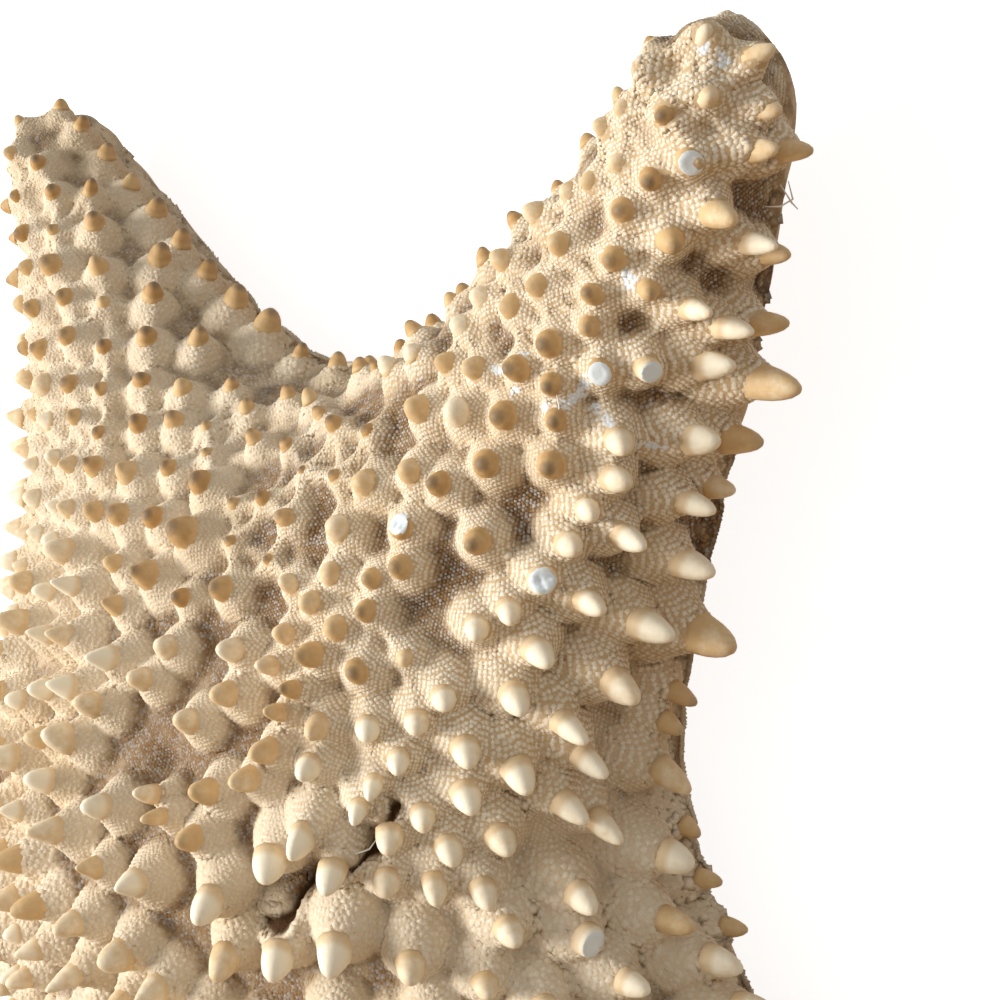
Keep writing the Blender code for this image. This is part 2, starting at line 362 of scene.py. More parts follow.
class Nodes:
    """Short names for building a node tree."""

    def __init__(self, tree: bpy.types.NodeTree) -> None:
        """Keeps the tree."""
        self.tree = tree

    def add(self, kind: str, inputs: dict | None = None, **settings: object) -> bpy.types.Node:
        """Adds a node.

        Args:
            kind: the node's type name.
            inputs: a value or a socket for each named or numbered input.
            **settings: values of the node's own properties.

        Returns:
            The node.
        """
        node = self.tree.nodes.new(kind)
        for key, value in settings.items():
            setattr(node, key, value)
        for key, value in (inputs or {}).items():
            if isinstance(value, bpy.types.NodeSocket):
                self.tree.links.new(value, node.inputs[key])
            else:
                node.inputs[key].default_value = value
        return node

    def math(self, operation: str, first: object, second: object = 0.0) -> bpy.types.NodeSocket:
        """Adds a Math node and returns its result."""
        return self.add("ShaderNodeMath", {0: first, 1: second}, operation=operation).outputs[0]

    def stirred(self, value: object, by: object, share: float) -> bpy.types.NodeSocket:
        """Adds a share of a noise, centred on zero, to a value and returns the sum."""
        return self.math("ADD", value, self.math("MULTIPLY", self.math("SUBTRACT", by, 0.5), share))

    def band(
        self, value: object, low: float, high: float, out_low: float = 0.0, out_high: float = 1.0
    ) -> bpy.types.NodeSocket:
        """Adds a smooth Map Range node.

        Args:
            value: what it maps.
            low: the value where it starts to rise or fall.
            high: the value where it ends.
            out_low: its result up to low.
            out_high: its result from high.

        Returns:
            The result.
        """
        names = {"Value": value, "From Min": low, "From Max": high, "To Min": out_low, "To Max": out_high}
        return self.add("ShaderNodeMapRange", names, interpolation_type="SMOOTHSTEP").outputs["Result"]

    def mix(self, share: object, first: object, second: object) -> bpy.types.NodeSocket:
        """Adds a colour Mix node.

        Args:
            share: how much of the second colour shows.
            first: the colour at a share of nothing.
            second: the colour at a full share.

        Returns:
            The mixed colour.
        """
        node = self.add("ShaderNodeMix", data_type="RGBA", clamp_factor=True)
        for socket, value in ((node.inputs[0], share), (node.inputs[6], first), (node.inputs[7], second)):
            if isinstance(value, bpy.types.NodeSocket):
                self.tree.links.new(value, socket)
            else:
                socket.default_value = value
        return node.outputs[2]

    def noise(self, vector: object, scale: float, detail: float = 3.0, rough: float = 0.5) -> bpy.types.NodeSocket:
        """Adds a Noise Texture node and returns its value."""
        names = {"Vector": vector, "Scale": scale, "Detail": detail, "Roughness": rough}
        return self.add("ShaderNodeTexNoise", names).outputs["Fac"]

    def attribute(self, name: str) -> bpy.types.NodeSocket:
        """Reads a corner value of the mesh and returns it."""
        return self.add("ShaderNodeAttribute", attribute_name=name, attribute_type="GEOMETRY").outputs["Fac"]


def shade(red: float, green: float, blue: float) -> Colour:
    """Turns a colour as seen on a screen into a linear one.

    Args:
        red: the red part, from 0 to 255.
        green: the green part.
        blue: the blue part.

    Returns:
        The linear colour, with full cover.
    """
    linear = [((part / 255.0 + 0.055) / 1.055) ** 2.4 if part > 10.3 else part / 3294.6 for part in (red, green, blue)]
    return (linear[0], linear[1], linear[2], 1.0)


@dataclass(frozen=True)
class SkinFinish:
    """Dried, granular skin: pale beads on bosses and ridges, brown gaps and grey dust in the hollows; the hollows, the
    gaps between beads and the crack also carry painted shade.
    """

    pale: Colour = shade(244, 237, 222)
    sand: Colour = shade(230, 220, 202)
    tan: Colour = shade(206, 184, 150)
    seam: Colour = shade(198, 170, 130)
    brown: Colour = shade(148, 112, 66)
    # Painted shade: the darkest brown, put into the gaps in the hollows and into the crack.
    painted_shade_brown: Colour = shade(72, 46, 18)
    dust: Colour = shade(186, 178, 172)
    chalk: Colour = shade(230, 238, 246)
    evenly: Colour = (0.46, 0.46, 0.46, 1.0)
    bead_scale: float = 2700.0
    bead_bump: float = 0.05 * MM

    def material(self, name: str = "dried_skin", beads: bool = True) -> bpy.types.Material:
        """Builds the finish.

        Args:
            name: the material's name.
            beads: whether it draws the fine beads between the modelled ones.

        Returns:
            The material.
        """
        made = bpy.data.materials.new(name)
        made.use_nodes = True
        tree = made.node_tree
        nodes = Nodes(tree)
        shader = tree.nodes["Principled BSDF"]
        place = nodes.add("ShaderNodeTexCoord").outputs["Object"]
        rise = nodes.attribute("rise")
        broad = nodes.noise(place, 75.0, 3.0)
        middle = nodes.noise(place, 300.0, 4.0, 0.6)
        fine = nodes.noise(place, 1500.0, 2.0)
        cell = nodes.add("ShaderNodeTexVoronoi", {"Vector": place, "Scale": self.bead_scale}, feature="F1")
        own = nodes.add("ShaderNodeSeparateColor", {"Color": cell.outputs["Color"]}).outputs
        chance = own["Red"] if beads else nodes.attribute("tone")
        level = nodes.stirred(rise, middle, 1.1)
        # Paler with height; the hollows (low) turn to grey dust and brown beads with very dark gaps, partly dust and
        # partly painted shade.
        low = nodes.band(level, -0.1, 0.58, 0.92, 0.0)
        bead = nodes.mix(nodes.band(level, 0.2, 0.9), self.sand, self.pale)
        bead = nodes.mix(nodes.band(chance, 0.2, 1.0, 0.0, 0.3), bead, self.tan)
        bead = nodes.mix(nodes.band(broad, 0.45, 0.68, 0.0, 0.4), bead, self.tan)
        hollow_dust_and_shade = nodes.mix(nodes.band(nodes.math("ADD", chance, middle), 0.6, 1.0), self.dust, self.brown)
        bead = nodes.mix(low, bead, hollow_dust_and_shade)
        gap = nodes.mix(low, self.seam, self.painted_shade_brown)
        crisp = nodes.attribute("crisp")
        if beads:
            # Darker towards each bead's edge: brown joints, deepened with painted shade.
            seam = nodes.band(cell.outputs["Distance"], 0.34, 0.62)
            foot = nodes.band(seam, 0.0, 1.0, 0.7, 0.95)
            dome = nodes.band(cell.outputs["Distance"], 0.05, 0.7, 1.0, 0.0)
            bump = nodes.add("ShaderNodeBump", {"Height": dome, "Distance": self.bead_bump, "Strength": 1.0})
            tree.links.new(bump.outputs["Normal"], shader.inputs["Normal"])
        else:
            # The lower part of each modelled bead is darker: painted shade round its foot.
            foot = nodes.band(nodes.attribute("bead_height"), 0.50, 0.72, 0.5, 0.12)
        colour = nodes.mix(nodes.mix(crisp, self.evenly, foot), bead, gap)
        ragged = nodes.stirred(nodes.attribute("chalk"), fine, 1.3)
        colour = nodes.mix(nodes.band(ragged, 0.68, 0.85, 0.0, 0.9), colour, self.chalk)
        # Painted shade: the crack is darkened with the darkest brown.
        colour = nodes.mix(nodes.band(nodes.attribute("crack"), 0.3, 0.8), colour, self.painted_shade_brown)
        tree.links.new(colour, shader.inputs["Base Color"])
        shader.inputs["Roughness"].default_value = 0.85
        shader.inputs["Specular IOR Level"].default_value = 0.25
        return made


@dataclass(frozen=True)
class TipFinish:
    """Smooth spine ends, cream to worn brown, with fresh white where they are broken."""

    cream: Colour = shade(246, 236, 214)
    tan: Colour = shade(216, 184, 136)
    brown: Colour = shade(188, 148, 96)
    grey: Colour = shade(126, 106, 82)
    white: Colour = shade(232, 242, 248)

    def material(self) -> bpy.types.Material:
        """Builds the finish and returns the material."""
        made = bpy.data.materials.new("spine_ends")
        made.use_nodes = True
        tree = made.node_tree
        nodes = Nodes(tree)
        shader = tree.nodes["Principled BSDF"]
        place = nodes.add("ShaderNodeTexCoord").outputs["Object"]
        tone = nodes.attribute("tone")
        height = nodes.attribute("height")
        mottled = nodes.noise(place, 900.0, 4.0, 0.6)
        level = nodes.stirred(tone, mottled, 0.55)
        colour = nodes.mix(nodes.band(level, 0.0, 0.5), self.brown, self.tan)
        colour = nodes.mix(nodes.band(level, 0.42, 0.9), colour, self.cream)
        worn = nodes.math("MULTIPLY", nodes.band(height, 0.62, 1.0), nodes.band(tone, 0.15, 0.6, 0.9, 0.0))
        colour = nodes.mix(worn, colour, self.grey)
        colour = nodes.mix(nodes.band(height, 0.0, 0.3, 0.7, 0.0), colour, self.tan)
        fresh = nodes.stirred(nodes.attribute("broken"), mottled, 0.6)
        colour = nodes.mix(nodes.band(fresh, 0.4, 0.6), colour, self.white)
        tree.links.new(colour, shader.inputs["Base Color"])
        grain = nodes.noise(place, 2600.0, 2.0)
        bump = nodes.add("ShaderNodeBump", {"Height": grain, "Distance": 0.03 * MM, "Strength": 1.0})
        tree.links.new(bump.outputs["Normal"], shader.inputs["Normal"])
        shader.inputs["Roughness"].default_value = 0.6
        shader.inputs["Specular IOR Level"].default_value = 0.3
        return made


@dataclass(frozen=True)
class PlainFinish:
    """One colour and one roughness."""

    name: str
    colour: Colour
    roughness: float = 0.7

    def material(self) -> bpy.types.Material:
        """Builds the finish and returns the material."""
        made = bpy.data.materials.new(self.name)
        made.use_nodes = True
        shader = made.node_tree.nodes["Principled BSDF"]
        shader.inputs["Base Color"].default_value = self.colour
        shader.inputs["Roughness"].default_value = self.roughness
        return made


@dataclass(frozen=True)
class SpineRow:
    """Spines of the main arm that are alike: size, tone of the ends, and places across and along in millimetres."""

    size: float
    tone: float
    places: Line


@dataclass
class SpineLayout:
    """Where every spine stands, how big it is and how its end looks."""

    form: StarForm
    seed: int = 41
    row_gap: float = 4.7 * MM
    row_step: float = 5.6 * MM
    edge_step: float = 6.1 * MM
    edge_in: float = 2.2 * MM
    least_gap: float = 2.6 * MM
    room: float = 4.35 * MM
    rows: tuple[SpineRow, ...] = (
        SpineRow(0.60, 0.60, ((1.8, 107.3), (4.6, 108.6), (7.0, 106.5), (3.7, 105.0), (0.8, 106.0), (5.4, 106.2))),
        SpineRow(0.80, 0.25, ((2.4, 102.6), (3.4, 97.8), (3.0, 94.3), (4.0, 90.3), (4.1, 86.6))),
        SpineRow(1.00, 0.20, ((3.5, 80.4), (2.6, 76.6), (3.8, 72.3), (4.9, 67.6), (3.0, 63.0), (2.7, 57.2))),
        SpineRow(0.95, 0.35, ((5.0, 54.4), (3.7, 51.5), (5.3, 49.0), (4.2, 45.5), (4.0, 41.7), (4.8, 37.8))),
        SpineRow(1.00, 0.50, ((5.2, 35.0), (7.0, 31.5), (7.5, 28.0), (5.0, 23.5), (7.0, 19.0), (2.5, 17.0))),
        SpineRow(0.78, 0.40, ((4.2, 103.8), (4.7, 100.6), (5.2, 96.7), (6.0, 94.1), (6.5, 89.5), (5.0, 84.0))),
        SpineRow(0.95, 0.25, ((7.1, 81.0), (5.2, 77.5), (6.8, 75.0), (8.4, 71.2), (8.1, 61.2), (8.3, 44.0))),
        SpineRow(0.85, 0.55, ((9.3, 37.3), (8.6, 32.7), (6.0, 103.1), (8.0, 103.8), (7.6, 97.9), (7.9, 94.2))),
        SpineRow(0.95, 0.75, ((9.4, 89.8), (9.2, 83.3), (11.4, 83.5), (10.6, 76.3), (12.0, 73.0), (12.0, 69.2))),
        SpineRow(1.00, 0.80, ((12.7, 65.5), (13.2, 61.3), (13.3, 57.2), (12.7, 54.2), (15.2, 47.0), (15.2, 43.8))),
        SpineRow(0.90, 0.85, ((12.8, 40.5), (11.5, 33.7), (8.7, 101.6), (10.6, 97.0), (12.0, 89.7), (12.3, 86.0))),
        SpineRow(1.05, 0.85, ((12.9, 77.0), (14.8, 79.5), (15.2, 68.4), (16.5, 61.3), (16.8, 55.0), (18.5, 50.2))),
        SpineRow(1.00, 0.85, ((19.5, 44.0), (16.6, 40.0), (16.8, 36.8), (17.5, 34.2), (17.2, 73.7), (20.0, 68.0))),
        SpineRow(1.10, 0.85, ((20.8, 61.2), (23.0, 54.8), (22.7, 49.7), (26.0, 47.5), (23.5, 44.3), (22.4, 40.7))),
        SpineRow(1.00, 0.80, ((21.5, 37.3), (28.0, 43.5), (31.0, 43.3), (27.0, 39.0), (25.0, 36.3), (26.5, 33.3))),
        SpineRow(0.95, 0.80, ((29.5, 35.0), (33.5, 33.5), (35.0, 38.0), (38.5, 35.7), (21.0, 34.2), (23.7, 31.0))),
        SpineRow(1.30, 0.90, ((20.0, 28.0), (16.0, 28.3), (15.2, 24.3), (25.0, 22.8), (13.0, 16.0), (21.5, 18.0))),
        SpineRow(0.95, 0.65, ((0.0, 17.5), (-0.5, 31.5), (-2.0, 26.0), (-9.5, 28.5), (-9.5, 24.0), (-3.0, 35.0))),
        SpineRow(0.60, 0.60, ((0.2, 104.2), (0.4, 101.4), (1.6, 97.4), (-0.8, 99.0), (0.4, 94.6), (-1.0, 92.5))),
        SpineRow(0.78, 0.45, ((0.5, 88.3), (-1.7, 90.5), (0.6, 83.9), (-0.8, 80.5), (-0.5, 73.7), (-3.1, 71.7))),
        SpineRow(1.00, 0.50, ((-3.0, 66.3), (0.0, 61.5), (-3.0, 57.0), (-2.3, 52.0), (0.2, 48.5), (0.5, 45.0))),
        SpineRow(0.75, 0.60, ((-2.5, 44.5), (0.5, 40.8), (1.5, 37.5), (-2.8, 88.7), (-2.6, 86.0), (-3.5, 83.0))),
        SpineRow(0.75, 0.70, ((-3.6, 78.8), (-4.0, 75.2), (-7.0, 69.0), (-9.0, 65.5))),
        SpineRow(0.80, 0.50, ((12.5, 95.5), (10.0, 103.5), (9.5, 106.0))),
        SpineRow(1.00, 0.50, ((14.0, 89.5), (17.0, 79.0), (29.5, 50.0), (39.5, 40.0))),
        SpineRow(1.45, 0.55, ((15.5, 84.5), (23.5, 61.5))),
        SpineRow(0.75, 0.45, ((18.5, 74.5), (20.5, 68.0), (26.5, 56.0), (27.5, 53.5))),
        SpineRow(0.65, 0.40, ((35.0, 46.5), (39.5, 43.5), (44.0, 41.5))),
        SpineRow(1.10, 0.75, ((35.0, 44.0), (44.5, 39.5), (49.5, 38.5))),
    )
    eye: tuple[float, float, float] = (66.5 * MM, 128.1 * MM, 119.0 * MM)
    settled: int = 135
    fill_step: float = 1.6 * MM
    seen_above: float = 4.6 * MM
    droop: float = 0.75
    lean: tuple[float, float, float] = (0.87, -0.40, -0.28)
    sweep: tuple[float, float] = (-0.25, 0.35)
    lean_share: float = 0.55
    lean_from: tuple[float, float] = (6.0 * MM, 8.0 * MM)
    lean_to: float = 60.0 * MM
    sweep_at: tuple[float, float] = (42.0 * MM, 78.0 * MM)
    wander: float = 0.9 * MM
    lanes: int = 9
    disc_r: float = 40.0 * MM
    disc_room: float = 0.2
    bold_r: tuple[float, float] = (36.0 * MM, 46.0 * MM)
    bold: float = 0.75
    calm_from: tuple[float, float] = (-2.0 * MM, 18.0 * MM)
    calm_share: float = 0.7
    worn_across: tuple[float, float] = (-40.0 * MM, -3.0 * MM)
    worn_from: float = 38.0 * MM
    worn_size: float = 0.66
    small_from: float = 94.0 * MM
    small_size: float = 0.6
    bare_from: float = 104.0 * MM
    seen_side: tuple[float, float] = (-9.0 * MM, 6.0 * MM)
    sharp_below: float = 30.0 * MM
    sharp_share: float = 0.4
    tip_r: float = 1.42 * MM
    broken_r: float = 1.58 * MM
    boss_crest: float = 1.8 * MM
    boss_flank: float = 3.4 * MM
    tall_crest: float = 1.6 * MM
    tall_flank: float = 2.9 * MM
    broken: Line = ((9.2, 83.3), (7.1, 81.0), (4.7, 100.6), (38.5, 35.7))
    chipped: Line = ((13.2, 61.3), (2.7, 57.2), (-2.6, 86.0), (8.7, 101.6))
    flat: np.ndarray = field(init=False)
    size: np.ndarray = field(init=False)
    near: np.ndarray = field(init=False)
    tone: np.ndarray = field(init=False)
    root: np.ndarray = field(init=False)
    way: np.ndarray = field(init=False)
    boss: np.ndarray = field(init=False)
    tall: np.ndarray = field(init=False)
    kind: list[TipKind] = field(init=False)

    def row_places(self) -> np.ndarray:
        """Works out the rows along the arms and round the edge.

        Returns:
            The places and sizes that their spines would take.
        """
        chance = np.random.RandomState(self.seed)
        form = self.form
        places = []
        for point in even_steps(form.contour(-self.edge_in), self.edge_step):
            places.append((point[0], point[1], 1.05 + 0.12 * chance.randn()))
        heads = form.headings()
        for index, arm in enumerate(form.arms):
            head = heads[index]
            left = np.array([-head[1], head[0]])
            for lane in range(-self.lanes, self.lanes + 1):
                count = int((arm.reach + 4.0 * MM) / self.row_step)
                for stop in range(count):
                    along = (stop + 0.5 * (lane % 2) + 0.35) * self.row_step
                    along += chance.uniform(-self.wander, self.wander)
                    across = lane * self.row_gap + chance.uniform(-self.wander, self.wander)
                    point = head * along + left * across
                    size = 0.92 + 0.12 * chance.randn() + 0.2 * (math.hypot(*point) < self.disc_r)
                    own = form.arm_places(point)[0].argmax() == index
                    if own and form.depth(point)[0] > 0.6 * MM:
                        places.append((point[0], point[1], size))
        places = np.concatenate([places, self.side_places(chance)])
        share = form.depth(places[:, :2])[1] / form.full_reach
        places[:, 2] *= 1.0 - 0.45 * np.clip((share - 0.75) / 0.25, 0.0, 1.0)
        worn = (places[:, 0] > self.worn_across[0]) & (places[:, 0] < self.worn_across[1])
        places[worn & (places[:, 1] > self.worn_from), 2] *= self.worn_size
        places[places[:, 1] > self.small_from, 2] *= self.small_size
        return places[places[:, 1] < self.bare_from]

    def stance(self, flat: np.ndarray) -> tuple[np.ndarray, np.ndarray, np.ndarray]:
        """Works out where spines stand and where they point.

        Args:
            flat: points of the flattened skin.

        Returns:
            Their roots, their directions and how far each stands on a flank, from 0 to 1.
        """
        root, way = self.form.skin_frame(flat)
        slant = np.clip((0.90 - way[:, 2]) / 0.45, 0.0, 1.0)
        along = self.form.arm_places(flat)[0]
        head = self.form.headings()[along.argmax(axis=1)]
        aim = way.copy()
        aim[:, 2] *= 1.0 - self.droop * slant
        aim[:, :2] += (np.interp(along.max(axis=1), self.sweep_at, self.sweep) * slant)[:, None] * head
        low = np.clip((flat[:, 0] - self.lean_from[0]) / (6.0 * MM), 0.0, 1.0)
        low *= np.clip((self.lean_to - flat[:, 1]) / (12.0 * MM), 0.0, 1.0)
        low *= np.clip((flat[:, 1] - self.lean_from[1]) / (8.0 * MM), 0.0, 1.0)
        aim += self.lean_share * low[:, None] * np.array(self.lean)
        inner, outer = self.bold_r
        bold = self.bold * np.clip((outer - np.linalg.norm(flat, axis=-1)) / (outer - inner), 0.0, 1.0)
        slant = np.maximum(np.clip((0.95 - way[:, 2]) / 0.4, 0.0, 1.0), bold)
        slant *= 1.0 - self.calm_share * self.calm(flat)
        return root, aim / np.linalg.norm(aim, axis=-1, keepdims=True), slant

    def calm(self, flat: np.ndarray) -> np.ndarray:
        """Returns how far points lie on the side where the spines are short, blunt and brown, from 0 to 1."""
        left = np.clip((self.calm_from[0] - flat[:, 0]) / (4.0 * MM), 0.0, 1.0)
        return left * np.clip((flat[:, 1] - self.calm_from[1]) / (10.0 * MM), 0.0, 1.0)

    def heights(self, slant: np.ndarray, size: np.ndarray) -> tuple[np.ndarray, np.ndarray]:
        """Returns how tall the bosses and the spine ends are."""
        boss = (self.boss_crest + (self.boss_flank - self.boss_crest) * slant) * size
        return boss, (self.tall_crest + (self.tall_flank - self.tall_crest) * slant) * size**0.8

    def settle(self, known: np.ndarray) -> np.ndarray:
        """Moves the roots so that the tips line up with the places where they are seen from above the arm.

        Args:
            known: flat places as seen, and sizes.

        Returns:
            The flat places of the roots.
        """
        seen, normal = self.form.skin_frame(known[:, :2])
        seen = seen + self.seen_above * normal
        sight = seen - np.array(self.eye)
        sight /= np.linalg.norm(sight, axis=-1, keepdims=True)

        def miss(flat: np.ndarray) -> np.ndarray:
            """Works out how far the tips are off their lines of sight.

            Args:
                flat: the flat places of the roots.

            Returns:
                The sideways offsets.
            """
            root, way, slant = self.stance(flat)
            boss, tall = self.heights(slant, known[:, 2])
            off = root + way * (boss + 0.5 * tall)[:, None] - seen
            return off - sight * (off * sight).sum(axis=-1, keepdims=True)

        flat = known[:, :2].copy()
        step = 0.3 * MM
        for _ in range(6):
            off = miss(flat)
            east = (miss(flat + [step, 0.0]) - off) / step
            north = (miss(flat + [0.0, step]) - off) / step
            slopes = np.stack([east, north], axis=-1)
            square = np.einsum("nki,nkj->nij", slopes, slopes) + 0.05 * np.eye(2)
            shift = np.linalg.solve(square, np.einsum("nki,nk->ni", slopes, off)[..., None])[..., 0]
            flat -= np.clip(shift, -1.2 * MM, 1.2 * MM)
        far = np.linalg.norm(flat - known[:, :2], axis=-1, keepdims=True)
        return known[:, :2] + (flat - known[:, :2]) * np.minimum(1.0, 5.0 * MM / np.maximum(far, 1e-9))

    def side_places(self, chance: np.random.RandomState) -> np.ndarray:
        """Works out places between the rows, for the far arms' steep sides, which the rows leave bare.

        Args:
            chance: the source of the random draws.

        Returns:
            The places and sizes.
        """
        steps = np.arange(-100.0 * MM, 100.0 * MM, self.fill_step)
        spots = np.stack(np.meshgrid(steps, steps), axis=-1).reshape(-1, 2)
        spots += chance.uniform(-0.35, 0.35, spots.shape) * self.fill_step
        spots = spots[(spots[:, 0] < self.seen_side[0]) | (spots[:, 1] < self.seen_side[1])]
        spots = spots[self.form.depth(spots)[0] > 2.0 * MM]
        return np.column_stack([spots, 0.85 + 0.10 * chance.randn(len(spots))])

    def build(self) -> None:
        """Works out every spine."""
        known = np.array([(across * MM, along * MM, row.size) for row in self.rows for across, along in row.places])
        marks = known[:, :2] / MM
        known[: self.settled, :2] = self.settle(known[: self.settled])
        tones = [row.tone for row in self.rows for _place in row.places]
        extra = self.row_places()
        places = np.concatenate([known, extra])
        places[:, 2] = np.clip(places[:, 2], 0.45, 1.45)
        root, way, slant = self.stance(places[:, :2])
        chance = np.random.RandomState(self.seed + 1)
        plain = 0.75 - 0.55 * self.calm(extra[:, :2])
        tone = np.concatenate([tones, plain + 0.12 * chance.randn(len(extra))])
        kept = []
        for index, foot in enumerate(root):
            least = self.least_gap
            if index >= len(known):
                least = self.room * (1.0 + self.disc_room * (math.hypot(*places[index, :2]) < self.disc_r))
            if not kept or np.linalg.norm(root[kept] - foot, axis=-1).min() > least:
                kept.append(index)
        self.flat = places[kept, :2]
        self.size = places[kept, 2]
        self.tone = np.clip(tone[kept] + 0.05 * chance.randn(len(kept)), 0.0, 1.0)
        self.root = root[kept]
        self.way = way[kept]
        self.boss, self.tall = (part[kept] for part in self.heights(slant, places[:, 2]))
        gaps = np.linalg.norm(self.root[:, None] - self.root[None], axis=-1) + np.eye(len(kept))
        self.near = gaps.min(axis=1)
        self.kind = []
        sharp = chance.uniform(size=len(kept))
        for index, source in enumerate(kept):
            kind = TipKind.BLUNT
            if source >= len(known):
                if sharp[index] < self.sharp_share and self.flat[index, 1] < self.sharp_below:
                    kind = TipKind.POINTED
            elif min(math.dist(marks[source], spot) for spot in self.broken) < 0.05:
                kind = TipKind.BROKEN
            elif min(math.dist(marks[source], spot) for spot in self.chipped) < 0.05:
                kind = TipKind.CHIPPED
            self.kind.append(kind)

    def tip_radius(self) -> np.ndarray:
        """Returns the radius of each spine end."""
        wide = np.where([kind is TipKind.BROKEN for kind in self.kind], self.broken_r, self.tip_r)
        return np.minimum(wide * self.size**0.8, 0.36 * self.near)


@dataclass
class Skin:
    """The closed skin: bosses under the spines, ridges between them, hollows, crack and underside."""

    form: StarForm
    spines: SpineLayout
    step: float = 0.62 * MM
    boss_wide: float = 4.1 * MM
    boss_power: float = 1.5
    ridge_tall: float = 1.1 * MM
    ridge_wide: float = 1.2 * MM
    ridge_reach: float = 7.6 * MM
    hollow: float = 0.8 * MM
    heel: float = 4.0 * MM
    groove_half: float = 3.2 * MM
    groove_end_half: float = 1.3 * MM
    groove_deep: float = 3.6 * MM
    mouth_deep: float = 6.5 * MM
    mouth_r: float = 6.0 * MM
    rim_step: float = 0.8 * MM
    under_step: float = 1.15 * MM
    under_rings: tuple[float, ...] = (0.35 * MM, 0.9 * MM, 1.7 * MM, 2.7 * MM, 4.0 * MM)
    grain_tall: float = 0.10 * MM
    swell_tall: float = 0.28 * MM
    knob_tall: float = 2.0 * MM
    knobs_from: tuple[float, float] = (97.0 * MM, 103.0 * MM)
    margin_tall: float = 1.1 * MM
    heel_tall: float = 0.9 * MM
    crack_deep: float = 2.0 * MM
    crack_wide: float = 0.55 * MM
    shelf_deep: float = 1.5 * MM
    shelf_wide: float = 1.6 * MM
    recess: tuple[float, float] = (-3.0, 17.5)
    recess_deep: float = 2.2 * MM
    recess_wide: float = 2.8 * MM
    chalk_wide: float = 0.75 * MM
    crack_line: Line = (
        (18.0, 36.0), (18.5, 34.0), (18.5, 33.0), (19.5, 31.5), (19.0, 30.0), (18.0, 29.0), (17.5, 27.0), (17.8, 25.5),
        (17.3, 23.0), (17.6, 21.0), (16.5, 18.0),
    )
    shelf_line: Line = ((18.3, 31.5), (16.9, 29.0), (16.6, 26.0), (16.4, 22.0))
    # Painted light: the saddle beside the main arm and the left arm are made paler to look lit.
    painted_light_at: tuple[float, float] = (29.0, 40.0)
    saddle_wide: float = 19.0 * MM
    painted_light_share: float = 0.60
    left_arm_painted_light: float = 0.32
    chalk_lines: tuple[Line, ...] = (
        ((1.2, 77.0), (1.5, 75.2)),
        ((2.2, 74.2), (2.5, 73.4)),
        ((6.6, 79.0), (7.0, 77.4), (6.6, 75.6)),
        ((5.4, 75.4), (5.2, 74.0)),
        ((8.4, 76.7), (9.4, 76.2), (10.6, 75.8)),
        ((12.4, 75.8), (13.0, 75.9)),
        ((-0.9, 73.6), (-0.1, 73.7)),
        ((5.0, 88.9), (5.2, 87.6)),
        ((1.5, 107.2), (1.8, 106.8)),
        ((2.9, 107.4), (3.2, 107.1)),
    )
    flat: np.ndarray = field(init=False)
    faces: np.ndarray = field(init=False)

    def relief(self, base: np.ndarray, normal: np.ndarray) -> tuple[np.ndarray, np.ndarray, np.ndarray, np.ndarray]:
        """Works out how the skin stands over the smooth body.

        Args:
            base: points on the smooth body.
            normal: the outward direction there.

        Returns:
            The height, the lean of the bosses, the distance to the nearest spine and that spine's end radius.
        """
        spines = self.spines
        tree = kdtree.KDTree(len(spines.root))
        for index, root in enumerate(spines.root):
            tree.insert(root, index)
        tree.balance()
        found = [[(hit[1], hit[2]) for hit in tree.find_n(point, 6)] for point in base.tolist()]
        found = np.array(found)
        which = found[..., 0].astype(int)
        gap = found[..., 1]
        tip = spines.tip_radius()[which]
        wide = np.minimum(self.boss_wide * spines.size[which] ** 0.6, 0.8 * spines.near[which] + 0.9 * MM)
        wide = np.maximum(wide, tip * 1.6)
        edge = np.clip((wide - gap) / (wide - 0.9 * tip), 0.0, 1.0)
        each = spines.boss[which] * edge**self.boss_power
        boss = each.max(axis=1)
        weight = each**4
        weight /= np.maximum(weight.sum(axis=1), 1e-30)[:, None]
        lean = ((spines.way[which] - normal[:, None, :]) * (each * weight)[..., None]).sum(axis=1)
        ridge = np.zeros(len(base))
        for first in range(4):
            for second in range(first + 1, 5):
                start = spines.root[which[:, first]]
                run = spines.root[which[:, second]] - start
                length = np.linalg.norm(run, axis=-1)
                share = np.clip(((base - start) * run).sum(axis=-1) / np.maximum(length**2, 1e-12), 0.0, 1.0)
                off = np.linalg.norm(base - start - share[:, None] * run, axis=-1)
                fade = np.clip((self.ridge_reach - length) / (2.0 * MM), 0.0, 1.0)
                crest = self.ridge_tall * fade * (0.7 + 0.3 * np.abs(2.0 * share - 1.0))
                ridge = np.maximum(ridge, crest * np.exp(-((off / self.ridge_wide) ** 2)))
        tall = (boss**3 + ridge**3) ** (1.0 / 3.0)
        return tall, lean, gap[:, 0], tip[:, 0]

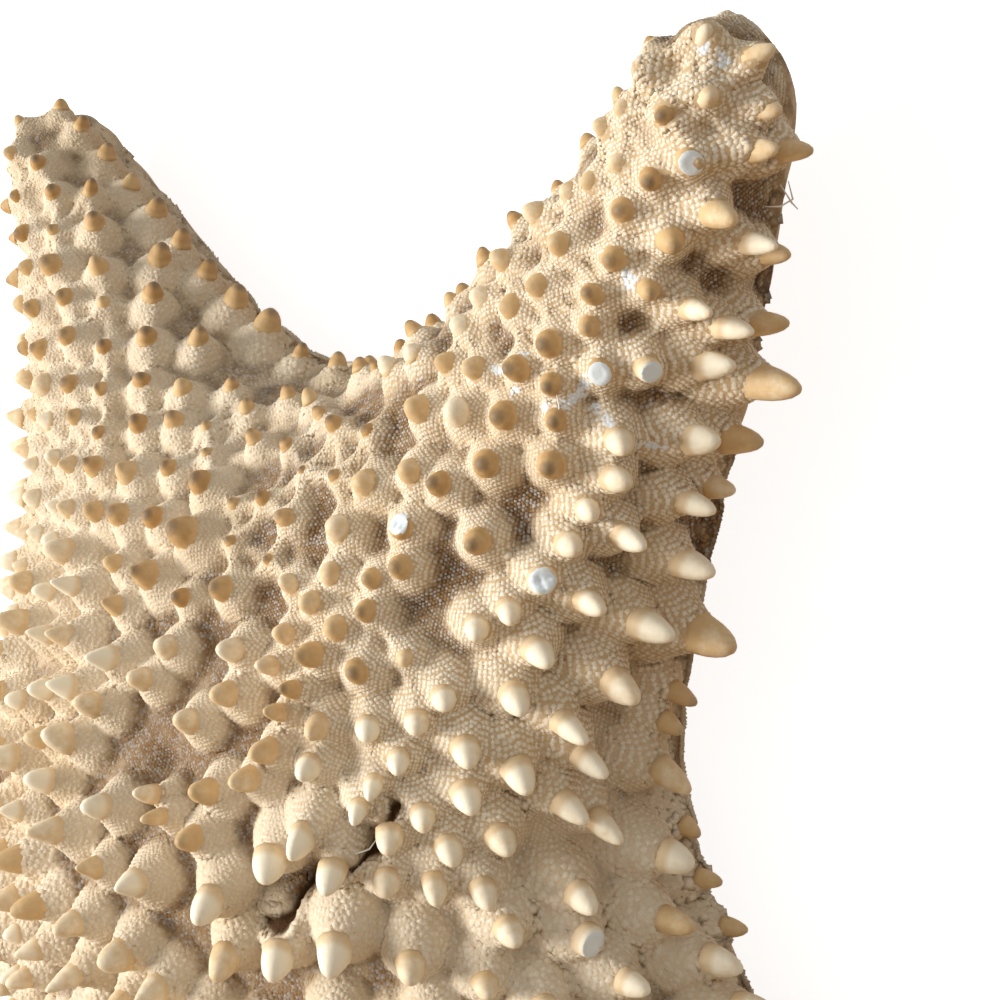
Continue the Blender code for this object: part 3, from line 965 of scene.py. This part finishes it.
    def upper_part(self) -> tuple[np.ndarray, np.ndarray, dict[str, np.ndarray], int]:
        """Builds the upper side.

        Returns:
            Places, triangles, corner values and how many places lie on the rim.
        """
        form = self.form
        rim = even_steps(form.contour(-form.roll / 2.0), self.rim_step)
        inner = honeycomb(self.step, SPAN)
        inner = inner[form.depth(inner)[0] > -form.roll / 2.0 + 0.35 * MM]
        flat = np.concatenate([rim, inner])
        ties = [(index, (index + 1) % len(rim)) for index in range(len(rim))]
        faces = fill_triangles(flat, ties)
        self.flat, self.faces = flat, faces
        base, way = form.skin_frame(flat)
        tall, lean, gap, tip = self.relief(base, way)
        cover = np.clip(tall / (0.8 * MM), 0.0, 1.0)
        grain, swell, knobs = (roughness(base, scale) for scale in (900.0, 190.0, 330.0))
        worn = rise_between(flat[:, 1], *self.knobs_from)
        margin = rise_between(-form.depth(flat)[0], 3.0 * MM, 5.0 * MM)
        height = tall - self.hollow * (1.0 - cover)
        height += self.grain_tall * grain + self.swell_tall * swell * (1.0 - 0.6 * cover)
        height += self.knob_tall * np.abs(knobs) * worn + self.margin_tall * np.maximum(swell + 0.2, 0.0) * margin
        split = line_gap(flat, np.array(self.crack_line) * MM)
        ragged = split * (1.0 + 0.5 * grain)
        height -= self.crack_deep * mound(ragged, self.crack_wide)
        height -= self.shelf_deep * mound(line_gap(flat, np.array(self.shelf_line) * MM), self.shelf_wide)
        recess = np.linalg.norm(flat - np.array(self.recess) * MM, axis=-1)
        height -= self.recess_deep * mound(recess, self.recess_wide)
        chalk = np.zeros(len(flat))
        for line in self.chalk_lines:
            chalk = np.maximum(chalk, mound(line_gap(flat, np.array(line) * MM), self.chalk_wide))
        # Painted light: paler on the saddle and on the left arm; the margin is made paler too.
        saddle = np.linalg.norm(flat - np.array(self.painted_light_at) * MM, axis=-1)
        pale = self.painted_light_share * mound(saddle, self.saddle_wide) + 0.2 * margin
        pale += self.left_arm_painted_light * rise_between(-flat[:, 0], 16.0 * MM, 26.0 * MM) * (flat[:, 1] > 0.0)
        crisp = rise_between(flat[:, 1], 26.0 * MM, 40.0 * MM) * rise_between(flat[:, 0], -20.0 * MM, -10.0 * MM)
        crisp *= rise_between(-flat[:, 0], -34.0 * MM, -22.0 * MM)
        values = {
            # rise: paler with height and darker in the hollows, partly painted shade, plus the painted light above.
            "rise": np.clip((height + 0.5 * MM) / (2.2 * MM) + pale, 0.0, 1.0),
            "chalk": chalk,
            # crack: where the finish paints shade into the crack.
            "crack": mound(ragged, self.crack_wide),
            "bead": (gap > tip * 0.95) * (split > 0.6 * MM) * 1.0,
            "crisp": 0.2 + 0.8 * crisp,
        }
        return base + way * height[:, None] + lean, faces, values, len(rim)

    def under_height(self, plan: np.ndarray) -> np.ndarray:
        """Works out the height of the underside.

        Args:
            plan: points inside the outline.

        Returns:
            Heights before the arm ends are bent.
        """
        form = self.form
        inset = np.clip(form.depth(plan)[0] / self.heel, 0.0, 1.0)
        height = form.edge_z * (1.0 - np.sqrt(np.maximum(0.0, 1.0 - (1.0 - inset) ** 2)))
        along, across = form.arm_places(plan)
        for index, arm in enumerate(form.arms):
            last = arm.reach - 7.0 * MM
            share = np.clip(along[:, index] / last, 0.0, 1.0)
            half = self.groove_half + (self.groove_end_half - self.groove_half) * share
            deep = self.groove_deep * (1.0 - 0.55 * share) * np.clip((last - along[:, index]) / (5.0 * MM), 0.0, 1.0)
            deep = deep * (along[:, index] > 0.0)
            height = np.maximum(height, deep * np.clip(1.0 - np.abs(across[:, index]) / half, 0.0, 1.0) ** 0.7)
        radius = np.linalg.norm(plan, axis=-1)
        return np.maximum(height, self.mouth_deep * np.clip(1.0 - radius / self.mouth_r, 0.0, 1.0))

    def heel_relief(self, plan: np.ndarray, low: np.ndarray) -> tuple[np.ndarray, dict[str, np.ndarray]]:
        """Carries the relief of the upper side down over the rounded heel.

        Args:
            plan: plan points of the underside.
            low: their places.

        Returns:
            The new places and the corner values.
        """
        inset = np.clip(self.form.depth(plan)[0] / self.heel, 0.0, 1.0)
        out = self.form.outward(plan) * (1.0 - inset)[:, None]
        normal = np.concatenate([out, -inset[:, None]], axis=-1)
        normal /= np.maximum(np.linalg.norm(normal, axis=-1, keepdims=True), 1e-9)
        tall, lean, gap, tip = self.relief(low, normal)
        fade = np.clip(1.0 - inset / 0.8, 0.0, 1.0)
        cover = np.clip(tall / (0.8 * MM), 0.0, 1.0)
        height = (tall - self.hollow * (1.0 - cover)) * fade
        height += self.heel_tall * np.maximum(roughness(low, 190.0) + 0.2, 0.0) * fade
        moved = low + normal * height[:, None] + lean * fade[:, None]
        moved[:, 2] = np.maximum(moved[:, 2], np.minimum(low[:, 2], 0.2 * MM))
        values = {
            "rise": np.where(fade > 0.0, np.clip((height + 1.2 * MM) / (2.2 * MM), 0.0, 1.0), 0.55),
            "chalk": np.zeros(len(plan)),
            "crack": np.zeros(len(plan)),
            "bead": (gap > tip * 0.95) * (inset < 0.75) * 1.0,
            "crisp": np.full(len(plan), 0.6),
        }
        return moved, values

    def build(self, finish: bpy.types.Material) -> bpy.types.Object:
        """Builds the skin.

        Args:
            finish: its material.

        Returns:
            The skin object, with its corner values.
        """
        form = self.form
        upper, faces, values, count = self.upper_part()
        rim = even_steps(form.contour(-form.roll / 2.0), self.rim_step)
        rim = rim - form.outward(rim) * form.roll / 2.0
        rings = [even_steps(form.contour(inset), 1.2 * MM) for inset in self.under_rings]
        inner = honeycomb(self.under_step, SPAN)
        inner = inner[form.depth(inner)[0] > self.under_rings[-1] + 0.6 * MM]
        plan = np.concatenate([rim, *rings, inner])
        ties = [(index, (index + 1) % len(rim)) for index in range(len(rim))]
        low_faces = fill_triangles(plan, ties)
        low = form.bend(np.concatenate([plan, self.under_height(plan)[:, None]], axis=-1))
        low, low_values = self.heel_relief(plan, low)
        shift = np.where(low_faces < count, low_faces, low_faces + len(upper) - count)
        places = form.placed(np.concatenate([upper, low[count:]]))
        made = make_object("skin", places, np.concatenate([faces, shift[:, ::-1]]).tolist())
        for name, part in values.items():
            store(made, name, np.concatenate([part, low_values[name][count:]]))
        made.data.materials.append(finish)
        return made


def grow_tree(name: str) -> bpy.types.NodeTree:
    """Builds the tree that plants one shape on every point of a mesh.

    Args:
        name: the tree's name.

    Returns:
        The tree, whose inputs are Shape, Finish and Seed.
    """
    tree = bpy.data.node_groups.new(name, "GeometryNodeTree")
    face = tree.interface
    face.new_socket("Geometry", in_out="INPUT", socket_type="NodeSocketGeometry")
    face.new_socket("Shape", in_out="INPUT", socket_type="NodeSocketObject")
    face.new_socket("Finish", in_out="INPUT", socket_type="NodeSocketMaterial")
    face.new_socket("Seed", in_out="INPUT", socket_type="NodeSocketInt")
    face.new_socket("Geometry", in_out="OUTPUT", socket_type="NodeSocketGeometry")
    nodes = Nodes(tree)
    given = nodes.add("NodeGroupInput").outputs
    way = nodes.add("GeometryNodeInputNamedAttribute", {"Name": "way"}, data_type="FLOAT_VECTOR").outputs["Attribute"]
    grow = nodes.add("GeometryNodeInputNamedAttribute", {"Name": "grow"}, data_type="FLOAT_VECTOR").outputs["Attribute"]
    aim = nodes.add("FunctionNodeAlignRotationToVector", {"Vector": way}, axis="Z").outputs["Rotation"]
    twist = nodes.add("FunctionNodeRandomValue", data_type="FLOAT")
    tree.links.new(given["Seed"], twist.inputs["Seed"])
    twist.inputs[3].default_value = 2.0 * math.pi
    about = nodes.add("FunctionNodeAxisAngleToRotation", {"Axis": (0.0, 0.0, 1.0)})
    tree.links.new(twist.outputs[1], about.inputs["Angle"])
    turned = nodes.add("FunctionNodeRotateRotation", rotation_space="LOCAL")
    tree.links.new(aim, turned.inputs["Rotation"])
    tree.links.new(about.outputs["Rotation"], turned.inputs["Rotate By"])
    shape = nodes.add("GeometryNodeObjectInfo", {"Object": given["Shape"]}).outputs["Geometry"]
    plant = nodes.add("GeometryNodeInstanceOnPoints", {"Points": given["Geometry"], "Instance": shape})
    tree.links.new(turned.outputs["Rotation"], plant.inputs["Rotation"])
    tree.links.new(grow, plant.inputs["Scale"])
    real = nodes.add("GeometryNodeRealizeInstances", {"Geometry": plant.outputs["Instances"]})
    dressed = nodes.add("GeometryNodeSetMaterial", {"Geometry": real.outputs["Geometry"], "Material": given["Finish"]})
    nodes.add("NodeGroupOutput", {"Geometry": dressed.outputs["Geometry"]})
    return tree


def run_tree(
    source: bpy.types.Object, tree: bpy.types.NodeTree, name: str, inputs: dict[str, object]
) -> bpy.types.Object:
    """Runs a tree on an object and keeps the result as a plain mesh.

    Args:
        source: the object that the tree works on, which is removed.
        tree: the tree.
        name: the new object's name.
        inputs: a value for each named input.

    Returns:
        The new object.
    """
    modifier = source.modifiers.new("grow", "NODES")
    modifier.node_group = tree
    for item in tree.interface.items_tree:
        if item.item_type == "SOCKET" and item.in_out == "INPUT" and item.name in inputs:
            modifier[item.identifier] = inputs[item.name]
    source.update_tag()
    graph = bpy.context.evaluated_depsgraph_get()
    mesh = bpy.data.meshes.new_from_object(source.evaluated_get(graph), depsgraph=graph)
    mesh.name = name
    source.modifiers.remove(modifier)
    bpy.data.objects.remove(source, do_unlink=True)
    made = bpy.data.objects.new(name, mesh)
    bpy.context.scene.collection.objects.link(made)
    return made


def turn_outward(target: bpy.types.Object) -> None:
    """Turns all faces of a closed mesh outward.

    Args:
        target: the object whose mesh is turned.
    """
    work = bmesh.new()
    work.from_mesh(target.data)
    bmesh.ops.recalc_face_normals(work, faces=work.faces)
    work.to_mesh(target.data)
    work.free()


def turned_shape(name: str, profile: Line, sides: int, dent: float = 0.0) -> bpy.types.Object:
    """Turns a profile into a closed shape of unit size.

    Args:
        name: the shape's name.
        profile: radius and height pairs from the foot up, the last one on the axis.
        sides: how many sides it has.
        dent: how far corners wander, as a share of the radius.

    Returns:
        The shape, with its height kept for each corner.
    """
    chance = np.random.RandomState(DENT_SEED)
    places = [(0.0, 0.0, profile[0][1])]
    faces = []
    for radius, height in profile[:-1]:
        for side in range(sides):
            turn = 2.0 * math.pi * side / sides
            wide = radius * (1.0 + dent * chance.uniform(-1.0, 1.0))
            rise = height + dent * chance.uniform(-0.5, 0.5) * (height > 0.3)
            places.append((wide * math.cos(turn), wide * math.sin(turn), rise))
    places.append((0.0, 0.0, profile[-1][1]))
    top = len(places) - 1
    for ring in range(len(profile) - 1):
        first = 1 + ring * sides
        for side in range(sides):
            after = (side + 1) % sides
            if ring == 0:
                faces.append((0, first + after, first + side))
            if ring == len(profile) - 2:
                faces.append((first + side, first + after, top))
            else:
                faces.append((first + side, first + after, first + sides + after, first + sides + side))
    made = make_object(name, np.array(places), faces)
    store(made, "height", np.clip(np.array(places)[:, 2], 0.0, 1.0))
    return made


@dataclass
class SpineEnds:
    """The smooth ends of the spines, one shape for each kind."""

    form: StarForm
    spines: SpineLayout
    sink: float = 0.15 * MM
    sides: int = 10
    lean: float = 0.07
    seed: int = 77
    blunt: Line = ((1.08, -0.25), (1.02, 0.0), (0.92, 0.28), (0.76, 0.55), (0.54, 0.80), (0.28, 0.96), (0.0, 1.01))
    sharp: Line = ((1.08, -0.25), (1.00, 0.0), (0.84, 0.28), (0.62, 0.56), (0.40, 0.82), (0.19, 1.00), (0.0, 1.06))
    stump: Line = ((1.08, -0.25), (1.02, 0.1), (0.95, 0.36), (0.86, 0.42), (0.45, 0.40), (0.0, 0.41))
    stump_sides: int = 12
    stump_dent: float = 0.03

    def shapes(self) -> dict[TipKind, bpy.types.Object]:
        """Builds the unit shapes.

        Returns:
            The shape of each kind, which says where it is freshly broken.
        """
        shapes = {
            TipKind.BLUNT: turned_shape("blunt_end", self.blunt, self.sides),
            TipKind.POINTED: turned_shape("pointed_end", self.sharp, self.sides),
            TipKind.BROKEN: turned_shape("broken_end", self.stump, self.stump_sides, self.stump_dent),
            TipKind.CHIPPED: turned_shape("chipped_end", self.blunt, self.stump_sides, self.stump_dent),
        }
        for kind, shape in shapes.items():
            places = np.array([corner.co for corner in shape.data.vertices])
            fresh = np.zeros(len(places))
            if kind is TipKind.BROKEN:
                fresh = (places[:, 2] > 0.38) & (np.hypot(places[:, 0], places[:, 1]) < 0.92)
            if kind is TipKind.CHIPPED:
                ripple = 0.06 * np.sin(9.0 * places[:, 1]) + 0.05 * np.sin(7.0 * places[:, 0])
                cut = 0.42 + 0.30 * places[:, 0] + ripple
                fresh = places[:, 2] > cut
                places[:, 2] = np.where(fresh, cut, places[:, 2])
                shape.data.vertices.foreach_set("co", places.ravel())
            store(shape, "broken", fresh.astype(float))
        return shapes

    def build(self, finish: bpy.types.Material) -> list[bpy.types.Object]:
        """Builds the ends.

        Args:
            finish: their material.

        Returns:
            One object for each kind.
        """
        spines = self.spines
        chance = np.random.RandomState(self.seed)
        radius = spines.tip_radius()
        foot = spines.root + spines.way * (spines.boss - self.sink)[:, None]
        way = spines.way + self.lean * chance.randn(len(foot), 3)
        way /= np.linalg.norm(way, axis=-1, keepdims=True)
        tall = spines.tall * (1.0 + 0.1 * chance.randn(len(foot)))
        grow = np.stack([radius, radius * (1.0 + 0.06 * chance.randn(len(foot))), tall], axis=-1)
        tree = grow_tree("plant spine ends")
        made = []
        for order, (kind, shape) in enumerate(self.shapes().items()):
            chosen = [index for index, own in enumerate(spines.kind) if own is kind]
            points = make_object(f"{kind.value}_points", self.form.placed(foot[chosen]), [])
            store(points, "way", way[chosen])
            store(points, "grow", grow[chosen])
            store(points, "tone", spines.tone[chosen])
            inputs = {"Shape": shape, "Finish": finish, "Seed": 11 + order}
            made.append(run_tree(points, tree, f"{kind.value}_spine_ends", inputs))
            bpy.data.objects.remove(shape, do_unlink=True)
        return made


@dataclass
class Granules:
    """Fine beads in staggered rows over the upper side, finest on the main arm, which has them in three pieces."""

    form: StarForm
    skin: Skin
    gaps: tuple[float, ...] = (0.50 * MM, 0.375 * MM, 0.44 * MM, 0.60 * MM, 0.60 * MM)
    split_at: tuple[float, ...] = (0.0, 42.0 * MM, 64.0 * MM, 200.0 * MM)
    jitter: tuple[float, ...] = (0.28, 0.15, 0.28, 0.28, 0.28)
    tall: float = 0.21
    foot: float = -0.29
    wide: float = 1.22
    sides: int = 4
    seed: int = 9
    carried: tuple[str, ...] = ("rise", "chalk", "crack", "crisp")
    stretch: tuple[float, float] = (0.9, 1.7)

    def bead(self) -> bpy.types.Object:
        """Builds the unit shape of a bead.

        Returns:
            One low, closed bead, half sunk.
        """
        turns = [2.0 * math.pi * side / self.sides for side in range(self.sides)]
        places = [(self.wide * math.cos(turn), self.wide * math.sin(turn), self.foot) for turn in turns]
        places.append((0.0, 0.0, self.tall))
        faces = [(side, (side + 1) % self.sides, self.sides) for side in range(self.sides)]
        faces.append(tuple(reversed(range(self.sides))))
        made = make_object("bead", np.array(places), faces)
        store(made, "bead_height", np.array([0.0] * self.sides + [1.0]))
        return made

    def build(self, skin: bpy.types.Object, finish: bpy.types.Material) -> list[bpy.types.Object]:
        """Plants the beads.

        Args:
            skin: the skin object, with its corner values.
            finish: the beads' material.

        Returns:
            One object for each arm, and three for the main arm.
        """
        flat, faces = self.skin.flat, self.skin.faces
        mesh = skin.data
        places = np.empty(len(mesh.vertices) * 3)
        mesh.vertices.foreach_get("co", places)
        normals = np.empty(len(mesh.vertices) * 3)
        mesh.vertex_normals.foreach_get("vector", normals)
        layers = {"place": places.reshape(-1, 3)[: len(flat)], "way": normals.reshape(-1, 3)[: len(flat)]}
        for name in ("bead", *self.carried):
            values = np.empty(len(mesh.vertices))
            mesh.attributes[name].data.foreach_get("value", values)
            layers[name] = values[: len(flat), None]
        finder = BVHTree.FromPolygons(np.pad(flat, ((0, 0), (0, 1))).tolist(), faces.tolist())
        bead = self.bead()
        tree = grow_tree("plant granules")
        chance = np.random.RandomState(self.seed)
        made = []
        for index, gap in enumerate(self.gaps):
            grid = honeycomb(gap, SPAN)
            grid = grid[self.form.depth(grid)[0] > 0.3 * MM - self.form.roll / 2.0]
            along = self.form.arm_places(grid)[0]
            mine = along.argmax(axis=1) == index
            grid, along = grid[mine], along[mine, index]
            bounds = self.split_at if index == self.form.main_arm else (self.split_at[0], self.split_at[-1])
            for part, (low, high) in enumerate(zip(bounds[:-1], bounds[1:])):
                own = grid[(along >= low) & (along < high)]
                own = own + self.jitter[index] * gap * chance.uniform(-1.0, 1.0, own.shape)
                found = self.carry(own, flat, faces, finder, layers)
                kept = found["bead"][:, 0] > 0.6
                count = int(kept.sum())
                points = make_object(f"points_{index}_{part}", found["place"][kept], [])
                store(points, "way", found["way"][kept])
                size = gap * chance.uniform(0.84, 1.0, count) * found["stretch"][kept]
                store(points, "grow", np.stack([size, size, size * chance.uniform(0.8, 1.2, count)], axis=-1))
                store(points, "tone", chance.uniform(size=count))
                for name in self.carried:
                    store(points, name, found[name][kept, 0])
                inputs = {"Shape": bead, "Finish": finish, "Seed": 100 + 10 * index + part}
                made.append(run_tree(points, tree, f"granules_arm_{index + 1}_{part + 1}", inputs))
        bpy.data.objects.remove(bead, do_unlink=True)
        return made

    def carry(
        self, plan: np.ndarray, flat: np.ndarray, faces: np.ndarray, finder: BVHTree, layers: dict[str, np.ndarray]
    ) -> dict[str, np.ndarray]:
        """Carries corner values of the skin to points of the flattened skin.

        Args:
            plan: the points.
            flat: the skin's corners in the flattened plane.
            faces: its triangles.
            finder: finds the triangle at a point.
            layers: values for each corner.

        Returns:
            The values at the points, and how much the skin is stretched there.
        """
        which = np.array([finder.find_nearest((*point, 0.0))[2] for point in plan.tolist()])
        corners = faces[which]
        first, second, third = (flat[corners[:, side]] for side in range(3))
        east, north, reach = second - first, third - first, plan - first
        whole = east[:, 0] * north[:, 1] - east[:, 1] * north[:, 0]
        whole = np.where(np.abs(whole) < 1e-16, 1e-16, whole)
        b = np.clip((reach[:, 0] * north[:, 1] - reach[:, 1] * north[:, 0]) / whole, 0.0, 1.0)
        c = np.clip((east[:, 0] * reach[:, 1] - east[:, 1] * reach[:, 0]) / whole, 0.0, 1.0)
        share = np.stack([1.0 - b - c, b, c], axis=-1)[..., None]
        carried = {name: (values[corners] * share).sum(axis=1) for name, values in layers.items()}
        start, *sides = (layers["place"][corners[:, side]] for side in range(3))
        area = np.linalg.norm(np.cross(sides[0] - start, sides[1] - start), axis=-1)
        carried["stretch"] = np.clip(np.sqrt(area / np.abs(whole)), *self.stretch)
        return carried


@dataclass
class Fibres:
    """Fine pale threads that lie over the crack, one spine end and the white residue."""

    form: StarForm
    radius: float = 0.09 * MM
    sides: int = 5
    lines: tuple[tuple[tuple[float, float, float], ...], ...] = (
        (
            (19.7, 32.6, 1.0), (19.9, 31.4, 0.9), (19.4, 30.3, 1.0), (18.4, 29.5, 0.7), (17.7, 28.2, 0.6),
            (17.5, 26.6, 0.8),
        ),
        ((12.4, 102.4, 1.6), (12.8, 101.2, 2.3), (12.2, 100.2, 2.0), (11.4, 99.6, 1.4)),
        ((11.6, 101.8, 1.8), (12.6, 100.9, 2.5), (13.6, 100.6, 2.2)),
        ((5.6, 76.4, 1.9), (6.3, 75.7, 2.1), (6.8, 74.5, 1.7), (7.7, 74.0, 1.3)),
    )

    def build(self, finish: bpy.types.Material) -> bpy.types.Object:
        """Builds the threads.

        Args:
            finish: their material.

        Returns:
            One object.
        """
        places: list[np.ndarray] = []
        faces: list[tuple[int, ...]] = []
        turns = np.arange(self.sides) * 2.0 * math.pi / self.sides
        for line in self.lines:
            knots = np.array(line) * MM
            base, way = self.form.skin_frame(knots[:, :2])
            path = self.form.placed(base + way * knots[:, 2:])
            run = np.gradient(path, axis=0)
            side = np.cross(run, way)
            side /= np.linalg.norm(side, axis=-1, keepdims=True)
            over = np.cross(side, run)
            over /= np.linalg.norm(over, axis=-1, keepdims=True)
            first = sum(len(part) for part in places)
            for index, knot in enumerate(path):
                wide = self.radius * (0.5 if index in (0, len(path) - 1) else 1.0)
                ring = np.cos(turns)[:, None] * side[index] + np.sin(turns)[:, None] * over[index]
                places.append(knot + wide * ring)
            for index in range(len(path) - 1):
                ring = first + index * self.sides
                for turn in range(self.sides):
                    after = (turn + 1) % self.sides
                    faces.append((ring + turn, ring + after, ring + self.sides + after, ring + self.sides + turn))
            faces.append(tuple(first + turn for turn in reversed(range(self.sides))))
            last = first + (len(path) - 1) * self.sides
            faces.append(tuple(last + turn for turn in range(self.sides)))
        made = make_object("fibres", np.concatenate(places), faces)
        turn_outward(made)
        made.data.materials.append(finish)
        return made


@dataclass
class GrooveSpines:
    """Short pegs along both walls of the grooves underneath."""

    form: StarForm
    skin: Skin
    step: float = 1.7 * MM
    start: float = 7.0 * MM
    stop: float = 10.0 * MM
    radius: float = 0.42 * MM
    clear: float = 0.15 * MM
    wall_share: float = 0.72
    lean: float = 0.35
    taper: float = 0.35
    least: float = 0.3 * MM
    sides: int = 7
    peg: Line = ((1.0, -0.35), (1.0, 0.2), (0.85, 0.6), (0.55, 0.9), (0.0, 1.0))

    def build(self, finish: bpy.types.Material) -> bpy.types.Object:
        """Builds the pegs.

        Args:
            finish: their material.

        Returns:
            One object.
        """
        form = self.form
        feet, ways, sizes = [], [], []
        for index, arm in enumerate(form.arms):
            head = form.headings()[index]
            left = np.array([-head[1], head[0]])
            last = arm.reach - self.stop
            for stop in range(int((last - self.start) / self.step)):
                along = self.start + stop * self.step
                half = self.skin.groove_half + (self.skin.groove_end_half - self.skin.groove_half) * along / last
                for side in (-1.0, 1.0):
                    feet.append(head * along + left * side * half * self.wall_share)
                    ways.append([*(-self.lean * side * left), -1.0])
                    sizes.append(self.radius * (1.0 - self.taper * along / last))
        plan = np.array(feet)
        low = np.concatenate([plan, self.skin.under_height(plan)[:, None]], axis=-1)
        lift = form.bend(low)[:, 2] - low[:, 2]
        way = np.array(ways)
        way /= np.linalg.norm(way, axis=-1, keepdims=True)
        length = np.maximum((low[:, 2] - self.clear) / -way[:, 2], self.least)
        points = make_object("groove_points", form.placed(low + [0.0, 0.0, 1.0] * lift[:, None]), [])
        store(points, "way", way)
        store(points, "grow", np.stack([sizes, sizes, length], axis=-1))
        store(points, "tone", np.full(len(plan), 0.6))
        shape = turned_shape("peg", self.peg, self.sides)
        store(shape, "broken", np.zeros(len(shape.data.vertices)))
        inputs = {"Shape": shape, "Finish": finish, "Seed": 31}
        made = run_tree(points, grow_tree("plant pegs"), "groove_spines", inputs)
        bpy.data.objects.remove(shape, do_unlink=True)
        return made


@dataclass(frozen=True)
class Studio:
    """Pale floor, soft light from above, and the camera at the photo's viewing angle."""

    azimuth: float = 46.9
    elevation: float = 47.6
    turn: float = 264.3
    distance: float = 134.1 * MM
    target: tuple[float, float, float] = (4.7 * MM - 0.89 * MM, 62.1 * MM - 11.26 * MM, 20.0 * MM)
    focal: float = 1400.0
    frame_px: float = 1000.0
    sensor: float = 36.0
    key_way: tuple[float, float, float] = (-0.48, -0.38, 0.79)
    key_power: float = 14.0
    key_size: float = 0.40
    key_far: float = 1.0
    key_colour: tuple[float, float, float] = (1.0, 0.985, 0.955)
    ambient: float = 0.54
    floor_half: float = 4.0
    floor_below: float = 0.4 * MM
    floor_colour: Colour = (0.45, 0.45, 0.45, 1.0)
    floor_glow: float = 0.85
    bright_way: tuple[float, float, float] = (-0.25, 0.70, 0.67)
    bright: Colour = (0.98, 0.97, 0.93, 1.0)
    warm: Colour = (0.62, 0.35, 0.10, 1.0)
    backdrop: Colour = (1.7, 1.7, 1.7, 1.0)

    def axes(self) -> tuple[Vector, Vector, Vector]:
        """Works out how the camera is turned.

        Returns:
            Its right, up and backward directions.
        """
        around, above, turn = (math.radians(value) for value in (self.azimuth, self.elevation, self.turn))
        back = Vector((math.cos(above) * math.cos(around), math.cos(above) * math.sin(around), math.sin(above)))
        right = Vector((-math.sin(around), math.cos(around), 0.0))
        up = back.cross(right)
        return right * math.cos(turn) + up * math.sin(turn), up * math.cos(turn) - right * math.sin(turn), back

    def camera(self) -> None:
        """Adds the camera."""
        right, up, back = self.axes()
        data = bpy.data.cameras.new("camera")
        data.sensor_width = self.sensor
        data.lens = self.sensor * self.focal / self.frame_px
        data.clip_start = 0.005
        made = bpy.data.objects.new("camera", data)
        place = Vector(self.target) + back * self.distance
        made.matrix_world = Matrix.Translation(place) @ Matrix((right, up, back)).transposed().to_4x4()
        bpy.context.scene.collection.objects.link(made)
        bpy.context.scene.camera = made

    def key(self) -> None:
        """Adds the square soft light that faces the object."""
        data = bpy.data.lights.new("key", "AREA")
        data.size = self.key_size
        data.energy = self.key_power
        data.color = self.key_colour
        made = bpy.data.objects.new("key", data)
        way = Vector(self.key_way).normalized()
        made.location = way * self.key_far
        made.rotation_euler = way.to_track_quat("Z", "Y").to_euler()
        bpy.context.scene.collection.objects.link(made)

    def build(self) -> bpy.types.Object:
        """Builds the studio.

        Returns:
            The floor.
        """
        scene = bpy.context.scene
        corners = np.array([(-1.0, -1.0), (1.0, -1.0), (1.0, 1.0), (-1.0, 1.0)]) * self.floor_half
        corners = np.pad(corners, ((0, 0), (0, 1)), constant_values=-self.floor_below)
        floor = make_object("floor", corners, [(0, 1, 2, 3)], smooth=False)
        finish = PlainFinish("pale_floor", self.floor_colour, 0.9).material()
        shader = finish.node_tree.nodes["Principled BSDF"]
        shader.inputs["Emission Color"].default_value = (1.0, 1.0, 1.0, 1.0)
        shader.inputs["Emission Strength"].default_value = self.floor_glow
        floor.data.materials.append(finish)
        floor.visible_diffuse = False
        world = bpy.data.worlds.new("soft_room")
        world.use_nodes = True
        nodes = Nodes(world.node_tree)
        back = world.node_tree.nodes["Background"]
        way = nodes.add("ShaderNodeTexCoord").outputs["Generated"]
        facing = nodes.add("ShaderNodeVectorMath", {0: way, 1: self.bright_way}, operation="DOT_PRODUCT")
        glow = nodes.mix(nodes.band(facing.outputs["Value"], -0.3, 0.7), self.warm, self.bright)
        seen = nodes.add("ShaderNodeLightPath").outputs["Is Camera Ray"]
        world.node_tree.links.new(nodes.mix(seen, glow, self.backdrop), back.inputs["Color"])
        back.inputs["Strength"].default_value = self.ambient
        scene.world = world
        scene.view_settings.view_transform = "Standard"
        self.key()
        self.camera()
        return floor


def main() -> None:
    """Builds the dressed starfish and the studio."""
    logging.basicConfig(level=logging.INFO, format="%(name)s: %(message)s")
    form = StarForm()
    spines = SpineLayout(form)
    spines.build()
    LOG.info("%d spines", len(spines.size))
    skin_maker = Skin(form, spines)
    skin = skin_maker.build(SkinFinish().material())
    LOG.info("skin: %d triangles", len(skin.data.polygons))
    tips = TipFinish().material()
    pieces = [skin] + SpineEnds(form, spines).build(tips)
    pieces.append(GrooveSpines(form, skin_maker).build(tips))
    pieces.append(Fibres(form).build(PlainFinish("fibre", shade(238, 236, 228), 0.6).material()))
    pieces += Granules(form, skin_maker).build(skin, SkinFinish().material("granules", beads=False))
    for piece in pieces:
        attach(piece, BODY)
        LOG.info("%s: %d faces", piece.name, len(piece.data.polygons))
    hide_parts(NODE)
    Studio().build()


if __name__ == "__main__":
    main()
